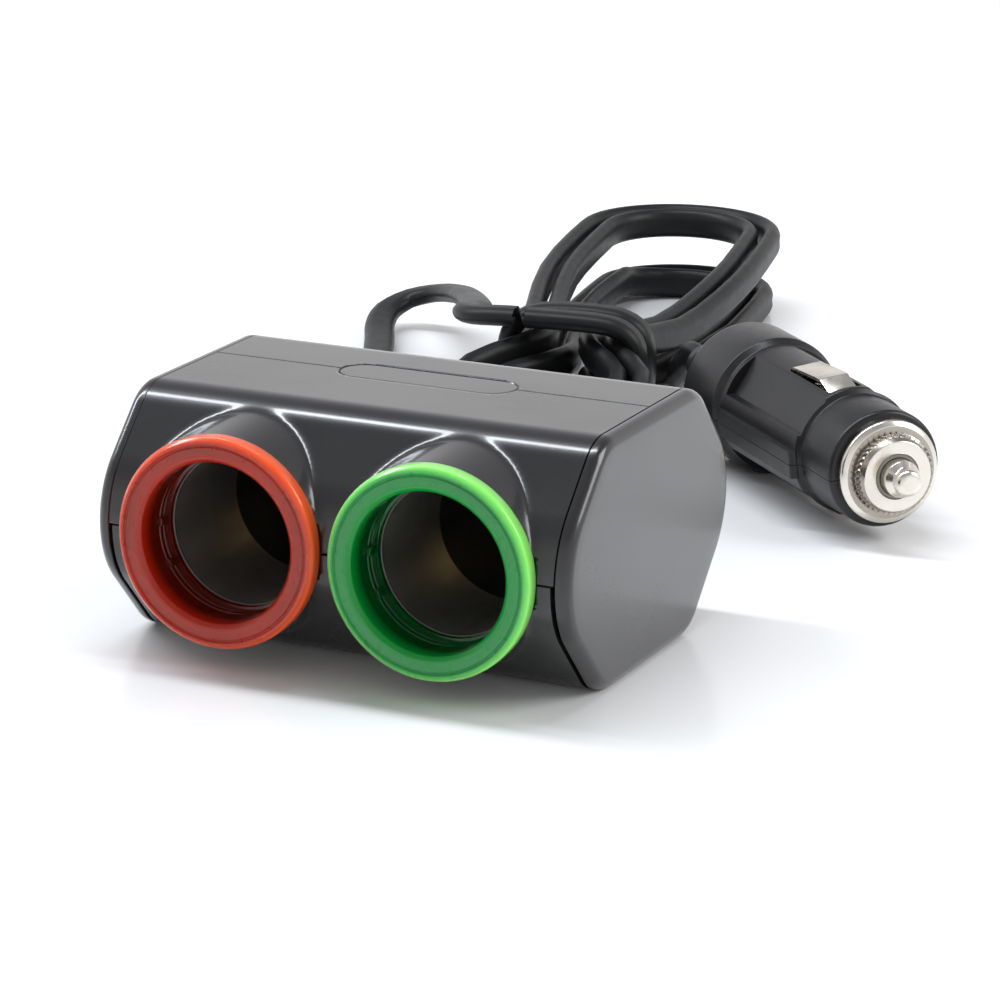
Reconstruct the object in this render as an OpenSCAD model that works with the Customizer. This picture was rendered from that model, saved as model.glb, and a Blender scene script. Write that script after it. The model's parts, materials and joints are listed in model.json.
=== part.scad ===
// Car power socket splitter: a barrel-shaped housing with two 12 V sockets side by side,
// on a flat two-core cord that is tied into a hank and ends in a 12 V plug.
// Millimetres, +Z up, sockets open towards -Y, origin at the middle of the housing's base.

/* [Housing] */
// Space from a tinted ring to the face of the end cap beside it
side_space = 4.75; // [4:0.25:14]
// Height of the housing's top above the tinted rings
top_space = 2.5; // [1.5:0.5:10]
// Depth of the housing, front bulge to back bulge
housing_d = 58.4; // [56:0.2:72]
// Wall of the shells
wall = 2.2; // [1.8:0.1:2.6]
// Radius of the front and back bulges
bulge_r = 13; // [11:0.5:15]
// Radius of the four long edges
edge_r = 8; // [5:0.5:9]
// Depth from the front bulge to the seam across the top
seam_depth = 32; // [30:0.5:36]
// Thickness of an end cap outside the shells
cap_t = 2.1; // [1.8:0.1:3]
// Rounding round the face of an end cap
cap_round = 1.7; // [1:0.1:1.8]
// Open gap between the lower shell and an end cap
cap_gap = 0.9; // [0.4:0.1:1.2]

/* [Sockets] */
// Space between the two tinted rings
ring_space = 2; // [1.5:0.5:6]
// Height of the tinted rings above the base
ring_lift = 3.5; // [3:0.1:7]
// Inside diameter of a socket tube
socket_bore = 21.3; // [20.9:0.1:21.8]
// Sheet of a socket tube
tube_wall = 0.5; // [0.4:0.1:0.6]
// Length of a socket tube
tube_l = 18.6; // [15:0.2:22]
// Depth from a ring's middle plane to its tube
tube_depth = 7.4; // [6:0.1:9]
// Width of a tinted ring outside its sleeve
ring_rim = 2.45; // [2.4:0.05:3]
// Diameter of the bead round a tinted ring
bead_d = 3; // [2.4:0.1:3]
// Distance from a ring's front to the housing's front bulge
ring_stand = 2.6; // [2:0.1:5]
// Wall of a ring's sleeve
sleeve_wall = 1.25; // [1.1:0.05:1.4]
// Taper of a socket boss, each side
boss_taper = 6; // [0:1:8]

/* [Top inlay] */
// Length of the oval inlay
inlay_l = 27; // [20:1:32]
// Width of the oval inlay
inlay_w = 7.6; // [6:0.2:9]
// Thickness of the oval inlay
inlay_t = 1.1; // [0.8:0.1:1.2]

/* [Cord] */
// Width of the flat cord
cord_w = 5.4; // [4.6:0.1:5.6]
// Thickness of the flat cord
cord_t = 3.4; // [2.6:0.1:3.5]
// Length of the housing's strain relief
relief_l = 14; // [10:1:16]

/* [Hank] */
// Reach of the back lobe from the tie
lobe_back = 104; // [90:1:110]
// Reach of the front lobe from the tie
lobe_front = 44; // [38:1:50]
// Half width of the outermost loop
lobe_half = 18.4; // [16:0.2:22]
// Turn at which the loops start, counted from the left of the tie
loop_start = 0.03; // [0.02:0.01:0.06]
// Turn at which the loops end
loop_end = 3.45; // [3.42:0.01:3.47]
// Rise of the top loops towards the end of the back lobe
fan_rise = 5; // [0:0.5:6]

/* [Plug] */
// Diameter of the plug body
plug_d = 20.6; // [20:0.1:21]
// Height of the rear grip above the plug body
grip_stand = 0.9; // [0.6:0.1:1.7]
// Length of the plug from its rear shoulder to the collar's front
plug_l = 53.4; // [50:0.2:58]
// Diameter of the nose nut's flange
nut_d = 16.2; // [15.6:0.1:17]
// Diameter of the knurled neck
neck_d = 12.7; // [12.4:0.1:13]
// Diameter of the centre pin
pin_d = 5.8; // [5.4:0.1:6]
// Length of the glass fuse
fuse_l = 30; // [25:1:31]
// Diameter of the glass fuse
fuse_d = 6.3; // [5:0.1:6.35]
// Width of a side contact
contact_w = 4.8; // [4:0.1:5.4]
// Angle of the plug's axis from the X axis, turned to the front
plug_heading = 45; // [30:1:60]
// Roll of the plug about its axis
plug_roll = 8; // [0:1:20]

/* [Hidden] */
$fn = 64;

// Overrun of a cut past the face it opens
over = 1;
// Fine gap between parts that are fitted together
fit = 0.1;
// Gap at a seam between two housing parts
seam_gap = 0.15;
// Clearance round a part that is set in another
clear = 0.15;

// Sockets and the housing round them
bore_r = socket_bore / 2;
tube_r = bore_r + tube_wall;
sleeve_in = tube_r + clear;
sleeve_r = sleeve_in + sleeve_wall;
ring_r = sleeve_r + ring_rim;
pitch = 2 * ring_r + ring_space;
axis_h = ring_r + ring_lift;
housing_w = pitch + 2 * ring_r + 2 * side_space;
housing_h = axis_h + ring_r + top_space;

// Housing section
overall_d = housing_d + ring_stand;
ring_front = -overall_d / 2;
body_front = ring_front + ring_stand;
body_back = body_front + housing_d;
seam_y = body_front + seam_depth;
flank_angle = 45;
shell_w = housing_w - 2 * cap_t;
bulge_front = body_front + bulge_r;
bulge_back = body_back - bulge_r;
top_run = (sin(flank_angle) * (housing_h - edge_r - axis_h) - bulge_r + edge_r) / cos(flank_angle);
base_run = (sin(flank_angle) * (axis_h - edge_r) - bulge_r + edge_r) / cos(flank_angle);
// Circles that bound the section, each [y, z, radius, start angle, end angle] seen from +X
section_arcs = [
    [bulge_back, axis_h, bulge_r, -flank_angle, flank_angle],
    [bulge_back - top_run, housing_h - edge_r, edge_r, flank_angle, 90],
    [bulge_front + top_run, housing_h - edge_r, edge_r, 90, 180 - flank_angle],
    [bulge_front, axis_h, bulge_r, 180 - flank_angle, 180 + flank_angle],
    [bulge_front + base_run, edge_r, edge_r, 180 + flank_angle, 270],
    [bulge_back - base_run, edge_r, edge_r, 270, 360 - flank_angle]];

// Socket pieces along their axes
bead_r = bead_d / 2;
ring_y = ring_front + bead_r;
lip_stand = 0.25;
lip_r = bore_r + lip_stand;
lip_t = 0.8;
ring_groove = 0.35;
tube_y = ring_y + tube_depth;
tube_end = tube_y + tube_l;
sleeve_lap = 8.6;
sleeve_end = tube_y + sleeve_lap;
boss_bore = sleeve_r + fit;
boss_mouth = ring_y + bead_r + fit;
boss_inset = 0.3;
boss_r = ring_r - boss_inset;
boss_l = 20;
base_r = sleeve_r;
base_lap = 7;
base_y = tube_end - base_lap;
cup_depth = 21.5;
cup_stand = 0.35;
cup_r = bore_r + cup_stand;
base_floor = 3;
cup_end = tube_end + cup_depth;
base_end = cup_end + base_floor;
base_taper = 3.5;
base_end_r = base_r - base_taper;
sockets = [-pitch / 2, pitch / 2];

// Centre contacts and bus strips
rivet_r = 1.5;
contact_head_r = 5;
contact_head_t = 1.2;
strip_t = 0.6;
strip_h = 5;
strip_reach = 3;
rivet_head_r = 2.6;
rivet_head_t = 0.7;
saddle_gap = 0.2;
saddle_width = base_y - sleeve_end - 2 * saddle_gap;
saddle_angle = 50;

// Inner wires
wire_r = 0.8;
wire_x = 1.2;
wire_gap = 0.3;
wire_wide = [0.3, 0.2, 1];
knee_out = 4.5;

// Lamp board
board_t = 1.2;
board_side = 9;
board_w = pitch + 2 * board_side;
board_tuck = 3.4;
board_set = axis_h - board_tuck;
board_front_y = body_front + board_set;
board_depth = 14;
board_lift = 0.5;
board_z = wall + board_lift;
board_clear = 0.4;
pad_w = 3;
led_w = 2.8;
led_d = 1.6;
led_h = 1.5;

// Screws and their posts
post_r = 2.8;
foot_r = 4;
foot_h = 5.2;
pilot_r = 1.25;
screw_r = 1.2;
screw_head_r = 2.6;
screw_head_h = 1.5;
screw_sink = 0.6;
screw_l = 10;
front_screw_set = 10.6;
rear_screw_set = 5.8;
screw_ys = [seam_y - front_screw_set, seam_y + rear_screw_set];
web_t = 2;
tongue_drop = 0.3;

// Ribs that hold the socket barrels
rib_t = 1.5;
rib_ys = [base_y + rib_t, seam_y - 2 * rib_t];
rib_in_top = 9;
rib_gap = 0.5;
rib_in_base = board_w / 2 + rib_gap;
rib_short = 5;
rib_reach = shell_w / 2 - rib_short;

// End caps
lip_depth = 3;
lip_wall = 1.4;
cap_root = 0.5;
round_steps = 4;
cap_arc_steps = 6;

// Cord relief
relief_r = 5;
relief_end_r = 3.2;
neck_r = 3.5;
flange_t = 2.6;
plug_flange_t = 1.4;
groove_count = 5;
groove_w = 1;
groove_depth = 0.7;
relief_end = body_back + relief_l;

// Hank: its frame, its layers and its tie
hank_x = -27;
hank_y = 118;
hank_turn = 9.5;
loop_gap = 0.7;
loop_step = cord_t + loop_gap;
layer_step = cord_w + loop_gap;
tie_half_w = 11.6;
tie_mid = 1;
tie_half_h = 8.4;
tie_power = 3 / 5;
ground_gap = 0.1;
low_z = cord_w / 2 + ground_gap;
tie_z = tie_half_h + cord_t / 2 + 2 * ground_gap;
waist_lift = tie_z - layer_step / 2 - low_z;
lift_run = 26;
waist_loops = 2.25;
waist_half = waist_loops * loop_step;
tie_turn = 615;
tie_end_turn = 12;
tie_start_v = -5;
tie_pitch = 6;
tie_steps = 26;
join_steps = 5;
join_pull_a = 14;
join_pull_b = 18;
back_steps = 7;
back_flare = 3 / back_steps;
widen_share = 0.62;
front_steps = 5;
front_flare = 2 / front_steps;
hank_sides = 6;
cord_sides = 10;
climb_start = 1.75;
climb_end = 2.25;
start_skip = 0.02;
turn_step = 0.01;

// Plug, along its own axis from its rear shoulder
plug_x = 6.3;
plug_y = 112.4;
plug_r = plug_d / 2;
grip_r = plug_r + grip_stand;
plug_z = grip_r + ground_gap;
grip_l = 13;
grip_round = 1.6;
grip_step = 1.2;
collar_l = 10.4;
collar_stand = 1.1;
collar_r = nut_d / 2 + collar_stand;
collar_edge = 0.6;
spigot_r = 5.5;
spigot_l = 3.1;
thread_gap = 0.08;
plug_split = 0.1;
rear_wall = 1.8;
wire_room_r = 8;
fuse_clear = 0.55;
fuse_room_r = fuse_d / 2 + fuse_clear;
fuse_room_start = 14;
rib_h = 4.4;
rib_out = 0.6;
slot_start = 26.4;
slot_end = 41.6;
slot_depth = 5.1;
slot_side = 0.4;
// Drop of the body from its full round to the stretch with the slots
slot_step = 0.3;
contact_t = 0.8;
contact_base = 2.6;
contact_out = 0.65;
spring_wire = 0.4;
contact_spring_r = 1.5;
contact_spring_turns = 3;
contact_spring_at = 34;
fuse_spring_r = 2.5;
fuse_spring_turns = 5;
spring_sides = 6;
spring_rings = 8;
nut_flange = 1.9;
neck_l = 2.5;
nut_wall = 0.9;
bush_wall = 0.6;
bush_r = pin_d / 2 + bush_wall;
bush_gap = 0.06;
bush_flange = 0.4;
pin_collar_r = 3.5;
pin_collar_l = 3.3;
pin_neck_l = 1.8;
ball_r = 2;
pin_end_share = 0.8;
ball_out = 1.8;
boot_l = 16;
boot_r = 4.6;
boot_end_r = 3.4;
boot_neck_r = 3.9;
plug_screw_at = 8.5;
plug_post_r = 2.6;
plug_screw_l = 11;
nut_start = plug_l + fit;
spigot_end = plug_l + spigot_l;

// Route of the lead, from the relief to the tie
lead_points = [[0, 49.5, 18.5], [-1.5, 55.5, 17], [-6.5, 61.5, 13], [-14, 66, 8.4], [-23, 70.5, 4.6],
    [-33, 77, 2.4], [-43, 86.5, 1.9], [-52, 98, 1.9], [-60, 111, 1.9], [-67, 126, 1.9], [-72.5, 139, 1.9],
    [-77, 149, 2.1], [-80.5, 156.5, 2.8], [-82, 163, 3.8], [-80, 168, 5.2], [-74.5, 168, 6.8], [-68, 162, 8.6],
    [-61.5, 152, 10.8], [-54, 138.5, 13.4], [-47.5, 125.5, 15.8], [-45, 116.5, 17.4], [-41.5, 112, 18.2]];
// Route of the tail, from the hank to the plug's boot
tail_points = [[-17.5, 143, 4], [-15, 137, 6.2], [-11.8, 132, 8.8]];

function unit(v) = v / norm(v);
function ease(x) = x <= 0 ? 0 : x >= 1 ? 1 : (1 - cos(180 * x)) / 2;
function signed_pow(x, p) = sign(x) * pow(abs(x), p);

// A place in the hank's frame, across, along and up, in the part's frame
function from_hank(p) = [hank_x + p[0] * cos(hank_turn) - p[1] * sin(hank_turn),
    hank_y + p[0] * sin(hank_turn) + p[1] * cos(hank_turn), p[2]];
hank_axis = [-sin(hank_turn), cos(hank_turn), 0];

// One quarter of a loop, from the tie (g = 0) round to the lobe's tip (g = 1): [across, along]
function lobe_at(g, waist, half, reach, flare) = g < flare
    ? [waist + (half - waist) * ease(g / flare / widen_share), (reach - half) * g / flare]
    : [half * cos(90 * (g - flare) / (1 - flare)), reach - half + half * sin(90 * (g - flare) / (1 - flare))];
// Turns in from the outermost loop: the loops spiral in for two turns and out again
function turns_in(s) = s < 2 ? s : 4 - s;
function loop_at(s) = let (q = floor(4 * s) % 4, f = 4 * s - floor(4 * s), g = q % 2 == 0 ? f : 1 - f,
    back = q < 2, side = q == 1 || q == 2 ? 1 : -1, inset = turns_in(s) * loop_step,
    p = lobe_at(g, waist_half - inset, lobe_half - inset, (back ? lobe_back : lobe_front) - inset,
        back ? back_flare : front_flare),
    top = 1 - ease((s - climb_start) / (climb_end - climb_start)),
    lift = waist_lift * (1 - ease(p[1] / lift_run)),
    fan = back ? fan_rise * top * ease(p[1] / lobe_back) : 0)
    [side * p[0], back ? p[1] : -p[1], low_z + layer_step * top + lift + fan];
// The tie: a flattened helix round the waist, from the top to the right and down
function tie_at(a) = [tie_half_w * signed_pow(sin(a), tie_power) + tie_mid, tie_start_v + tie_pitch * a / 360,
    tie_z + tie_half_h * signed_pow(cos(a), tie_power)];

loop_params = [for (k = [ceil(4 * loop_start) : floor(4 * loop_end)])
    let (steps = k % 4 < 2 ? back_steps : front_steps)
    for (i = [0 : steps - 1]) let (s = (k + i / steps) / 4) if (s > loop_start && s < loop_end) s];
start_steps = [for (i = [0 : back_steps - 1]) let (s = (floor(4 * loop_start) + i / back_steps) / 4)
    if (s > loop_start + start_skip) s];
loop_s = concat([loop_start], start_steps, loop_params);
loop_points = [for (s = loop_s) loop_at(s)];
tie_points = concat([[tie_mid - cord_w, tie_start_v, tie_z + tie_half_h]],
    [for (i = [0 : tie_steps]) tie_at(tie_turn * i / tie_steps)]);
// A smooth stretch from the tie's end to the first loop
join_a = tie_at(tie_turn);
join_ta = unit(tie_at(tie_turn) - tie_at(tie_turn - tie_end_turn)) * join_pull_a;
join_b = loop_at(loop_start);
join_tb = unit(loop_at(loop_start + turn_step) - join_b) * join_pull_b;
join_points = [for (i = [1 : join_steps - 1]) let (t = i / join_steps)
    (2 * pow(t, 3) - 3 * pow(t, 2) + 1) * join_a + (pow(t, 3) - 2 * pow(t, 2) + t) * join_ta
    + (3 * pow(t, 2) - 2 * pow(t, 3)) * join_b + (pow(t, 3) - pow(t, 2)) * join_tb];
hank_last = loop_points[len(loop_points) - 1];
hank_end = hank_last + cord_w * unit(loop_at(loop_end) - loop_at(loop_end - turn_step));
hank_path = [for (p = concat(tie_points, join_points, loop_points, [hank_end])) from_hank(p)];
// Direction of the cord's wide side at each ring: along the hank on the tie, upright on the loops
hank_wide = concat([for (p = tie_points) hank_axis],
    [for (i = [1 : join_steps - 1]) unit((1 - i / join_steps) * hank_axis + [0, 0, i / join_steps])],
    [for (p = loop_points) [0, 0, 1]], [[0, 0, 1]]);
lead_path = concat([[0, relief_end, axis_h]], lead_points, [2 * hank_path[0] - hank_path[1], hank_path[0]]);
// The lead's wide side lies level all the way
lead_wide = [for (i = [0 : len(lead_path) - 1]) cross(tangent(lead_path, i), [0, 0, 1])];
plug_axis = [cos(plug_heading), -sin(plug_heading), 0];
boot_end = [plug_x, plug_y, plug_z] - boot_l * plug_axis;
hank_out = hank_path[len(hank_path) - 1];
tail_path = concat([hank_out, 2 * hank_out - hank_path[len(hank_path) - 2]], tail_points,
    [boot_end - cord_w * plug_axis, boot_end]);
tail_wide = [for (p = tail_path) [0, 0, 1]];

// Rings of a flat tube: each ring stands square to the path and turns its wide side to its direction
function tangent(path, i) = unit(path[min(i + 1, len(path) - 1)] - path[max(i - 1, 0)]);
function flat_rings(path, wide, sides, half_w, half_t) = [for (i = [0 : len(path) - 1])
    let (t = tangent(path, i), w = unit(wide[i] - (wide[i] * t) * t), n = cross(t, w))
    [for (k = [0 : sides - 1]) let (a = 360 * k / sides)
        path[i] + half_w * cos(a) * w + half_t * sin(a) * n]];
module tube(rings) {
    sides = len(rings[0]);
    last = len(rings) - 1;
    polyhedron(points = [for (r = rings) for (p = r) p],
        faces = concat([[for (k = [0 : sides - 1]) k]],
            [for (i = [0 : last - 1]) for (k = [0 : sides - 1]) let (n = (k + 1) % sides)
                each [[i * sides + k, (i + 1) * sides + n, i * sides + n],
                      [i * sides + k, (i + 1) * sides + k, (i + 1) * sides + n]]],
            [[for (k = [0 : sides - 1]) last * sides + sides - 1 - k]]));
}
// Least gap between parts of the hank that are not neighbours along it, on the rings' points
gap_skip = 4;
hank_rings = flat_rings(hank_path, hank_wide, hank_sides, cord_w / 2, cord_t / 2);
hank_gap = min([for (i = [0 : len(hank_rings) - 1]) for (j = [i + gap_skip : 1 : len(hank_rings) - 1])
    if (norm(hank_path[i] - hank_path[j]) < 4 * cord_w)
    min([for (p = hank_rings[i]) for (q = hank_rings[j]) norm(p - q)])]);
function path_length(path) = len(path) < 2 ? 0
    : [for (i = 0, d = 0; i < len(path);
        d = d + (i + 1 < len(path) ? norm(path[i + 1] - path[i]) : 0), i = i + 1) d][len(path) - 1];

// Polygon of the housing section, with its round stretches joined straight; inset moves it inwards
module section(inset = 0) {
    union() {
        polygon([for (a = section_arcs) for (angle = [a[3], a[4]])
            [a[0] + (a[2] - inset) * cos(angle), a[1] + (a[2] - inset) * sin(angle)]]);
        for (a = section_arcs) translate([a[0], a[1]]) circle(r = a[2] - inset);
    }
}
module bar(inset, width) {
    rotate([90, 0, 90]) linear_extrude(height = width, center = true) section(inset);
}
// A cylinder along +Y from y
module along_y(r, y, length, r2 = undef) {
    translate([0, y, 0]) rotate([-90, 0, 0]) cylinder(r1 = r, r2 = is_undef(r2) ? r : r2, h = length);
}
module at_sockets() {
    for (x = sockets) translate([x, 0, axis_h]) children();
}
// The housing as one piece, with its bosses and their bores, before it is cut into shells
module housing_blank(width) {
    difference() {
        union() {
            bar(0, width);
            at_sockets() along_y(boss_r, boss_mouth, boss_l, boss_r + boss_l * tan(boss_taper));
        }
        bar(wall, width + 2 * over);
        at_sockets() along_y(boss_bore, boss_mouth - over, boss_l + 2 * over);
        at_sockets() along_y(ring_r + fit, boss_mouth - bead_d, bead_d);
    }
}
module block(x, y, z) {
    translate([x[0], y[0], z[0]]) cube([x[1] - x[0], y[1] - y[0], z[1] - z[0]]);
}
module oval(length, width, z, t) {
    translate([0, seam_y, z]) linear_extrude(height = t) union() {
        square([length - width, width], center = true);
        for (x = [-1, 1]) translate([x * (length - width) / 2, 0]) circle(d = width);
    }
}
module inlay_pocket() {
    oval(inlay_l + 2 * clear, inlay_w + 2 * clear, housing_h - inlay_t - fit, inlay_t + fit + over);
}
half_w = shell_w / 2;
// A rib across the housing at y, between two distances from the middle, cut for the barrels
module rib(y, from_x, to_x, z) {
    difference() {
        intersection() {
            bar(wall / 2, shell_w);
            for (s = [-1, 1]) block(s > 0 ? [from_x, to_x] : [-to_x, -from_x], [y, y + rib_t], z);
        }
        at_sockets() along_y(base_r + clear, y - over, rib_t + 2 * over);
    }
}
module screw_foot(y) {
    translate([0, y, 0]) cylinder(r = foot_r, h = foot_h);
}
module screw_way(y) {
    translate([0, y, -over]) cylinder(r = screw_r + clear, h = foot_h + 2 * over);
    translate([0, y, -over]) cylinder(r = screw_head_r + clear, h = over + screw_sink + screw_head_h);
}

module upper_shell() {
    color([0.1, 0.1, 0.11]) difference() {
        union() {
            intersection() {
                housing_blank(shell_w - 2 * seam_gap);
                block([-half_w, half_w], [ring_front - over, seam_y - seam_gap / 2],
                    [axis_h + seam_gap / 2, housing_h + over]);
            }
            for (y = rib_ys) rib(y, rib_in_top, rib_reach, [axis_h + seam_gap, housing_h - wall / 2]);
            intersection() {
                union() {
                    for (y = screw_ys) translate([0, y, foot_h + fit])
                        cylinder(r = post_r, h = housing_h - foot_h);
                    block([-web_t / 2, web_t / 2], screw_ys, [axis_h, housing_h]);
                }
                union() {
                    block([-foot_r, foot_r], [body_front, seam_y - seam_gap], [0, housing_h - wall / 2]);
                    block([-foot_r, foot_r], [seam_y - 2 * seam_gap, body_back],
                        [0, housing_h - wall - tongue_drop]);
                }
            }
        }
        for (y = screw_ys) translate([0, y, 0]) cylinder(r = pilot_r, h = foot_h + screw_l);
        inlay_pocket();
    }
}
module lower_shell() {
    color([0.1, 0.1, 0.11]) difference() {
        union() {
            intersection() {
                housing_blank(shell_w - 2 * cap_gap);
                block([-half_w, half_w], [ring_front - over, seam_y - seam_gap / 2],
                    [-over, axis_h - seam_gap / 2]);
            }
            for (y = rib_ys) rib(y, rib_in_base, rib_reach, [wall / 2, axis_h - seam_gap]);
            screw_foot(screw_ys[0]);
            for (x = [-1, 1]) for (y = [board_front_y + pad_w, board_front_y + board_depth - pad_w])
                translate([x * (board_w / 2 - pad_w), y, wall / 2])
                    cylinder(d = pad_w, h = board_z - wall / 2);
        }
        screw_way(screw_ys[0]);
    }
}
module rear_shell() {
    color([0.1, 0.1, 0.11]) difference() {
        union() {
            intersection() {
                housing_blank(shell_w - 2 * seam_gap);
                block([-half_w, half_w], [seam_y + seam_gap / 2, body_back + over], [-over, housing_h + over]);
            }
            screw_foot(screw_ys[1]);
        }
        screw_way(screw_ys[1]);
        inlay_pocket();
        translate([0, 0, axis_h]) along_y(neck_r + fit, body_back - 2 * wall, 3 * wall);
    }
}
// Points of the housing section, drawn in by an inset
function section_points(inset) = [for (a = section_arcs) for (i = [0 : cap_arc_steps])
    let (angle = a[3] + (a[4] - a[3]) * i / cap_arc_steps)
    [a[0] + (a[2] - inset) * cos(angle), a[1] + (a[2] - inset) * sin(angle)]];
function section_ring(x, inset) = [for (p = section_points(inset)) [x, p[0], p[1]]];
module end_cap(side) {
    color([0.1, 0.1, 0.11]) mirror([side < 0 ? 1 : 0, 0, 0]) {
        tube(concat([section_ring(half_w, 0)], [for (i = [0 : round_steps]) let (a = 90 * i / round_steps)
            section_ring(half_w + cap_t - cap_round * (1 - sin(a)), cap_round * (1 - cos(a)))]));
        translate([half_w - lip_depth, 0, 0]) rotate([90, 0, 90])
            linear_extrude(height = lip_depth + cap_root) difference() {
                polygon(section_points(wall + clear));
                polygon(section_points(wall + clear + lip_wall));
            }
    }
}
module end_cap_left() {
    end_cap(-1);
}
module end_cap_right() {
    end_cap(1);
}
module top_inlay() {
    color([0.12, 0.12, 0.13]) oval(inlay_l, inlay_w, housing_h - inlay_t, inlay_t);
}

// A tinted ring: bead, grooved face, inner bead and a sleeve with a lip in front of the tube
module socket_ring(x, tint) {
    throat_r = sleeve_in + fit;
    face_r = ring_r - bead_r - ring_groove;
    face_y = ring_groove / 2 - bead_r;
    color(tint) translate([x, ring_y, axis_h]) rotate([-90, 0, 0]) {
        rotate_extrude() translate([ring_r - bead_r, 0]) circle(r = bead_r, $fn = 32);
        rotate_extrude() polygon([[ring_r - bead_r, face_y], [face_r, face_y],
            [face_r - ring_groove, face_y + ring_groove], [face_r - 2 * ring_groove, face_y],
            [throat_r + ring_groove, face_y], [throat_r, face_y + ring_groove],
            [throat_r, tube_depth - lip_t - fit], [lip_r, tube_depth - lip_t - fit],
            [lip_r, tube_depth - fit], [sleeve_in, tube_depth - fit],
            [sleeve_in, sleeve_end - ring_y], [sleeve_r, sleeve_end - ring_y],
            [sleeve_r, -face_y], [ring_r - bead_r, -face_y]]);
    }
}
module socket_ring_red() {
    socket_ring(sockets[0], [0.9, 0.2, 0.08, 0.8]);
}
module socket_ring_green() {
    socket_ring(sockets[1], [0.1, 0.75, 0.25, 0.8]);
}
module socket_tube(x) {
    color([0.55, 0.52, 0.48]) translate([x, 0, axis_h]) difference() {
        along_y(tube_r, tube_y, tube_l);
        along_y(bore_r, tube_y - over, tube_l + 2 * over);
    }
}
module socket_tube_left() {
    socket_tube(sockets[0]);
}
module socket_tube_right() {
    socket_tube(sockets[1]);
}
module socket_base(x) {
    color([0.08, 0.08, 0.08]) translate([x, 0, axis_h]) difference() {
        union() {
            along_y(base_r, base_y, base_end - base_taper - base_y);
            along_y(base_r, base_end - base_taper, base_taper, base_end_r);
        }
        along_y(sleeve_in, base_y - over, tube_end - base_y + over + fit);
        along_y(cup_r, tube_end, cup_depth);
        along_y(rivet_r + fit, cup_end - over, base_floor + 2 * over);
    }
}
module socket_base_left() {
    socket_base(sockets[0]);
}
module socket_base_right() {
    socket_base(sockets[1]);
}
module centre_contact(x) {
    strip_back = base_end + strip_t;
    color([0.8, 0.65, 0.3]) translate([x, 0, axis_h]) {
        along_y(contact_head_r - contact_head_t, cup_end - contact_head_t, contact_head_t, contact_head_r);
        along_y(rivet_r, cup_end - contact_head_t / 2,
            strip_back + rivet_head_t - cup_end + contact_head_t / 2);
        along_y(rivet_head_r, strip_back, rivet_head_t);
    }
}
module centre_contact_left() {
    centre_contact(sockets[0]);
}
module centre_contact_right() {
    centre_contact(sockets[1]);
}
module positive_strip() {
    color([0.8, 0.65, 0.3]) difference() {
        block([sockets[0] - strip_reach, sockets[1] + strip_reach], [base_end, base_end + strip_t],
            [axis_h - strip_h / 2, axis_h + strip_h / 2]);
        at_sockets() along_y(rivet_r + fit, base_end - over, strip_t + 2 * over);
    }
}
// A saddle over each tube, joined by a flat bar
module negative_strip() {
    saddle_in = tube_r + fit / 2;
    saddle_out = saddle_in + strip_t;
    saddle_y = (sleeve_end + base_y) / 2 - saddle_width / 2;
    wedge_w = saddle_out * tan(saddle_angle);
    color([0.75, 0.73, 0.7]) translate([0, saddle_y + saddle_width, axis_h]) rotate([90, 0, 0])
        linear_extrude(height = saddle_width) difference() {
            union() {
                for (x = sockets) translate([x, 0]) intersection() {
                    circle(r = saddle_out);
                    polygon([[0, 0], [wedge_w, saddle_out], [-wedge_w, saddle_out]]);
                }
                translate([sockets[0], saddle_in + fit]) square([pitch, strip_t - 2 * fit]);
            }
            for (x = sockets) translate([x, 0]) circle(r = saddle_in);
        }
}
module wire(path, shade) {
    color(shade) tube(flat_rings(path, [for (p = path) wire_wide], 8, wire_r, wire_r));
}
relief_in = body_back - wall - flange_t;
module lead_positive() {
    strip_face = base_end + strip_t + wire_gap;
    mid_y = (strip_face + relief_in) / 2;
    wire([[wire_x, relief_in - wire_gap, axis_h], [wire_x, mid_y, axis_h],
        [5 * wire_x, mid_y, axis_h], [5 * wire_x, strip_face, axis_h]], [0.7, 0.1, 0.1]);
}
module lead_negative() {
    x = -7 * wire_r;
    over_z = housing_h - wall - 2.5 * wire_r;
    saddle_top = axis_h + tube_r + strip_t + fit;
    saddle_mid = (sleeve_end + base_y) / 2;
    // The knee keeps under the sloping back flank, which follows the housing's height above the axes
    knee_y = body_back - (housing_h - axis_h) + knee_out;
    wire([[-wire_x, relief_in - wire_gap, axis_h], [-wire_x, relief_in - 2 * wire_r, axis_h],
        [x, relief_in - 2 * wire_r, axis_h + 6 * wire_r], [x, knee_y, over_z - wire_r],
        [x, knee_y - edge_r, over_z], [x, base_y + 4 * wire_r, over_z],
        [x, saddle_mid + wire_r, over_z], [x, saddle_mid, over_z - wire_r],
        [x, saddle_mid, saddle_top + wire_gap]],
        [0.08, 0.08, 0.08]);
}
module circuit_board() {
    color([0.1, 0.35, 0.2]) difference() {
        block([-board_w / 2, board_w / 2], [board_front_y, board_front_y + board_depth],
            [board_z, board_z + board_t]);
        for (y = screw_ys) translate([0, y, 0]) cylinder(r = foot_r + board_clear, h = housing_h);
    }
}
module indicator_leds() {
    color([0.95, 0.95, 0.9]) for (x = sockets) block([x - led_w / 2, x + led_w / 2],
        [board_front_y, board_front_y + led_d], [board_z + board_t, board_z + board_t + led_h]);
}
module screw(length) {
    cylinder(r = screw_head_r, h = screw_head_h);
    cylinder(r = screw_r, h = length);
}
module housing_screws() {
    color([0.7, 0.7, 0.72]) for (y = screw_ys) translate([0, y, screw_sink])
        screw(screw_l + screw_head_h);
}

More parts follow.
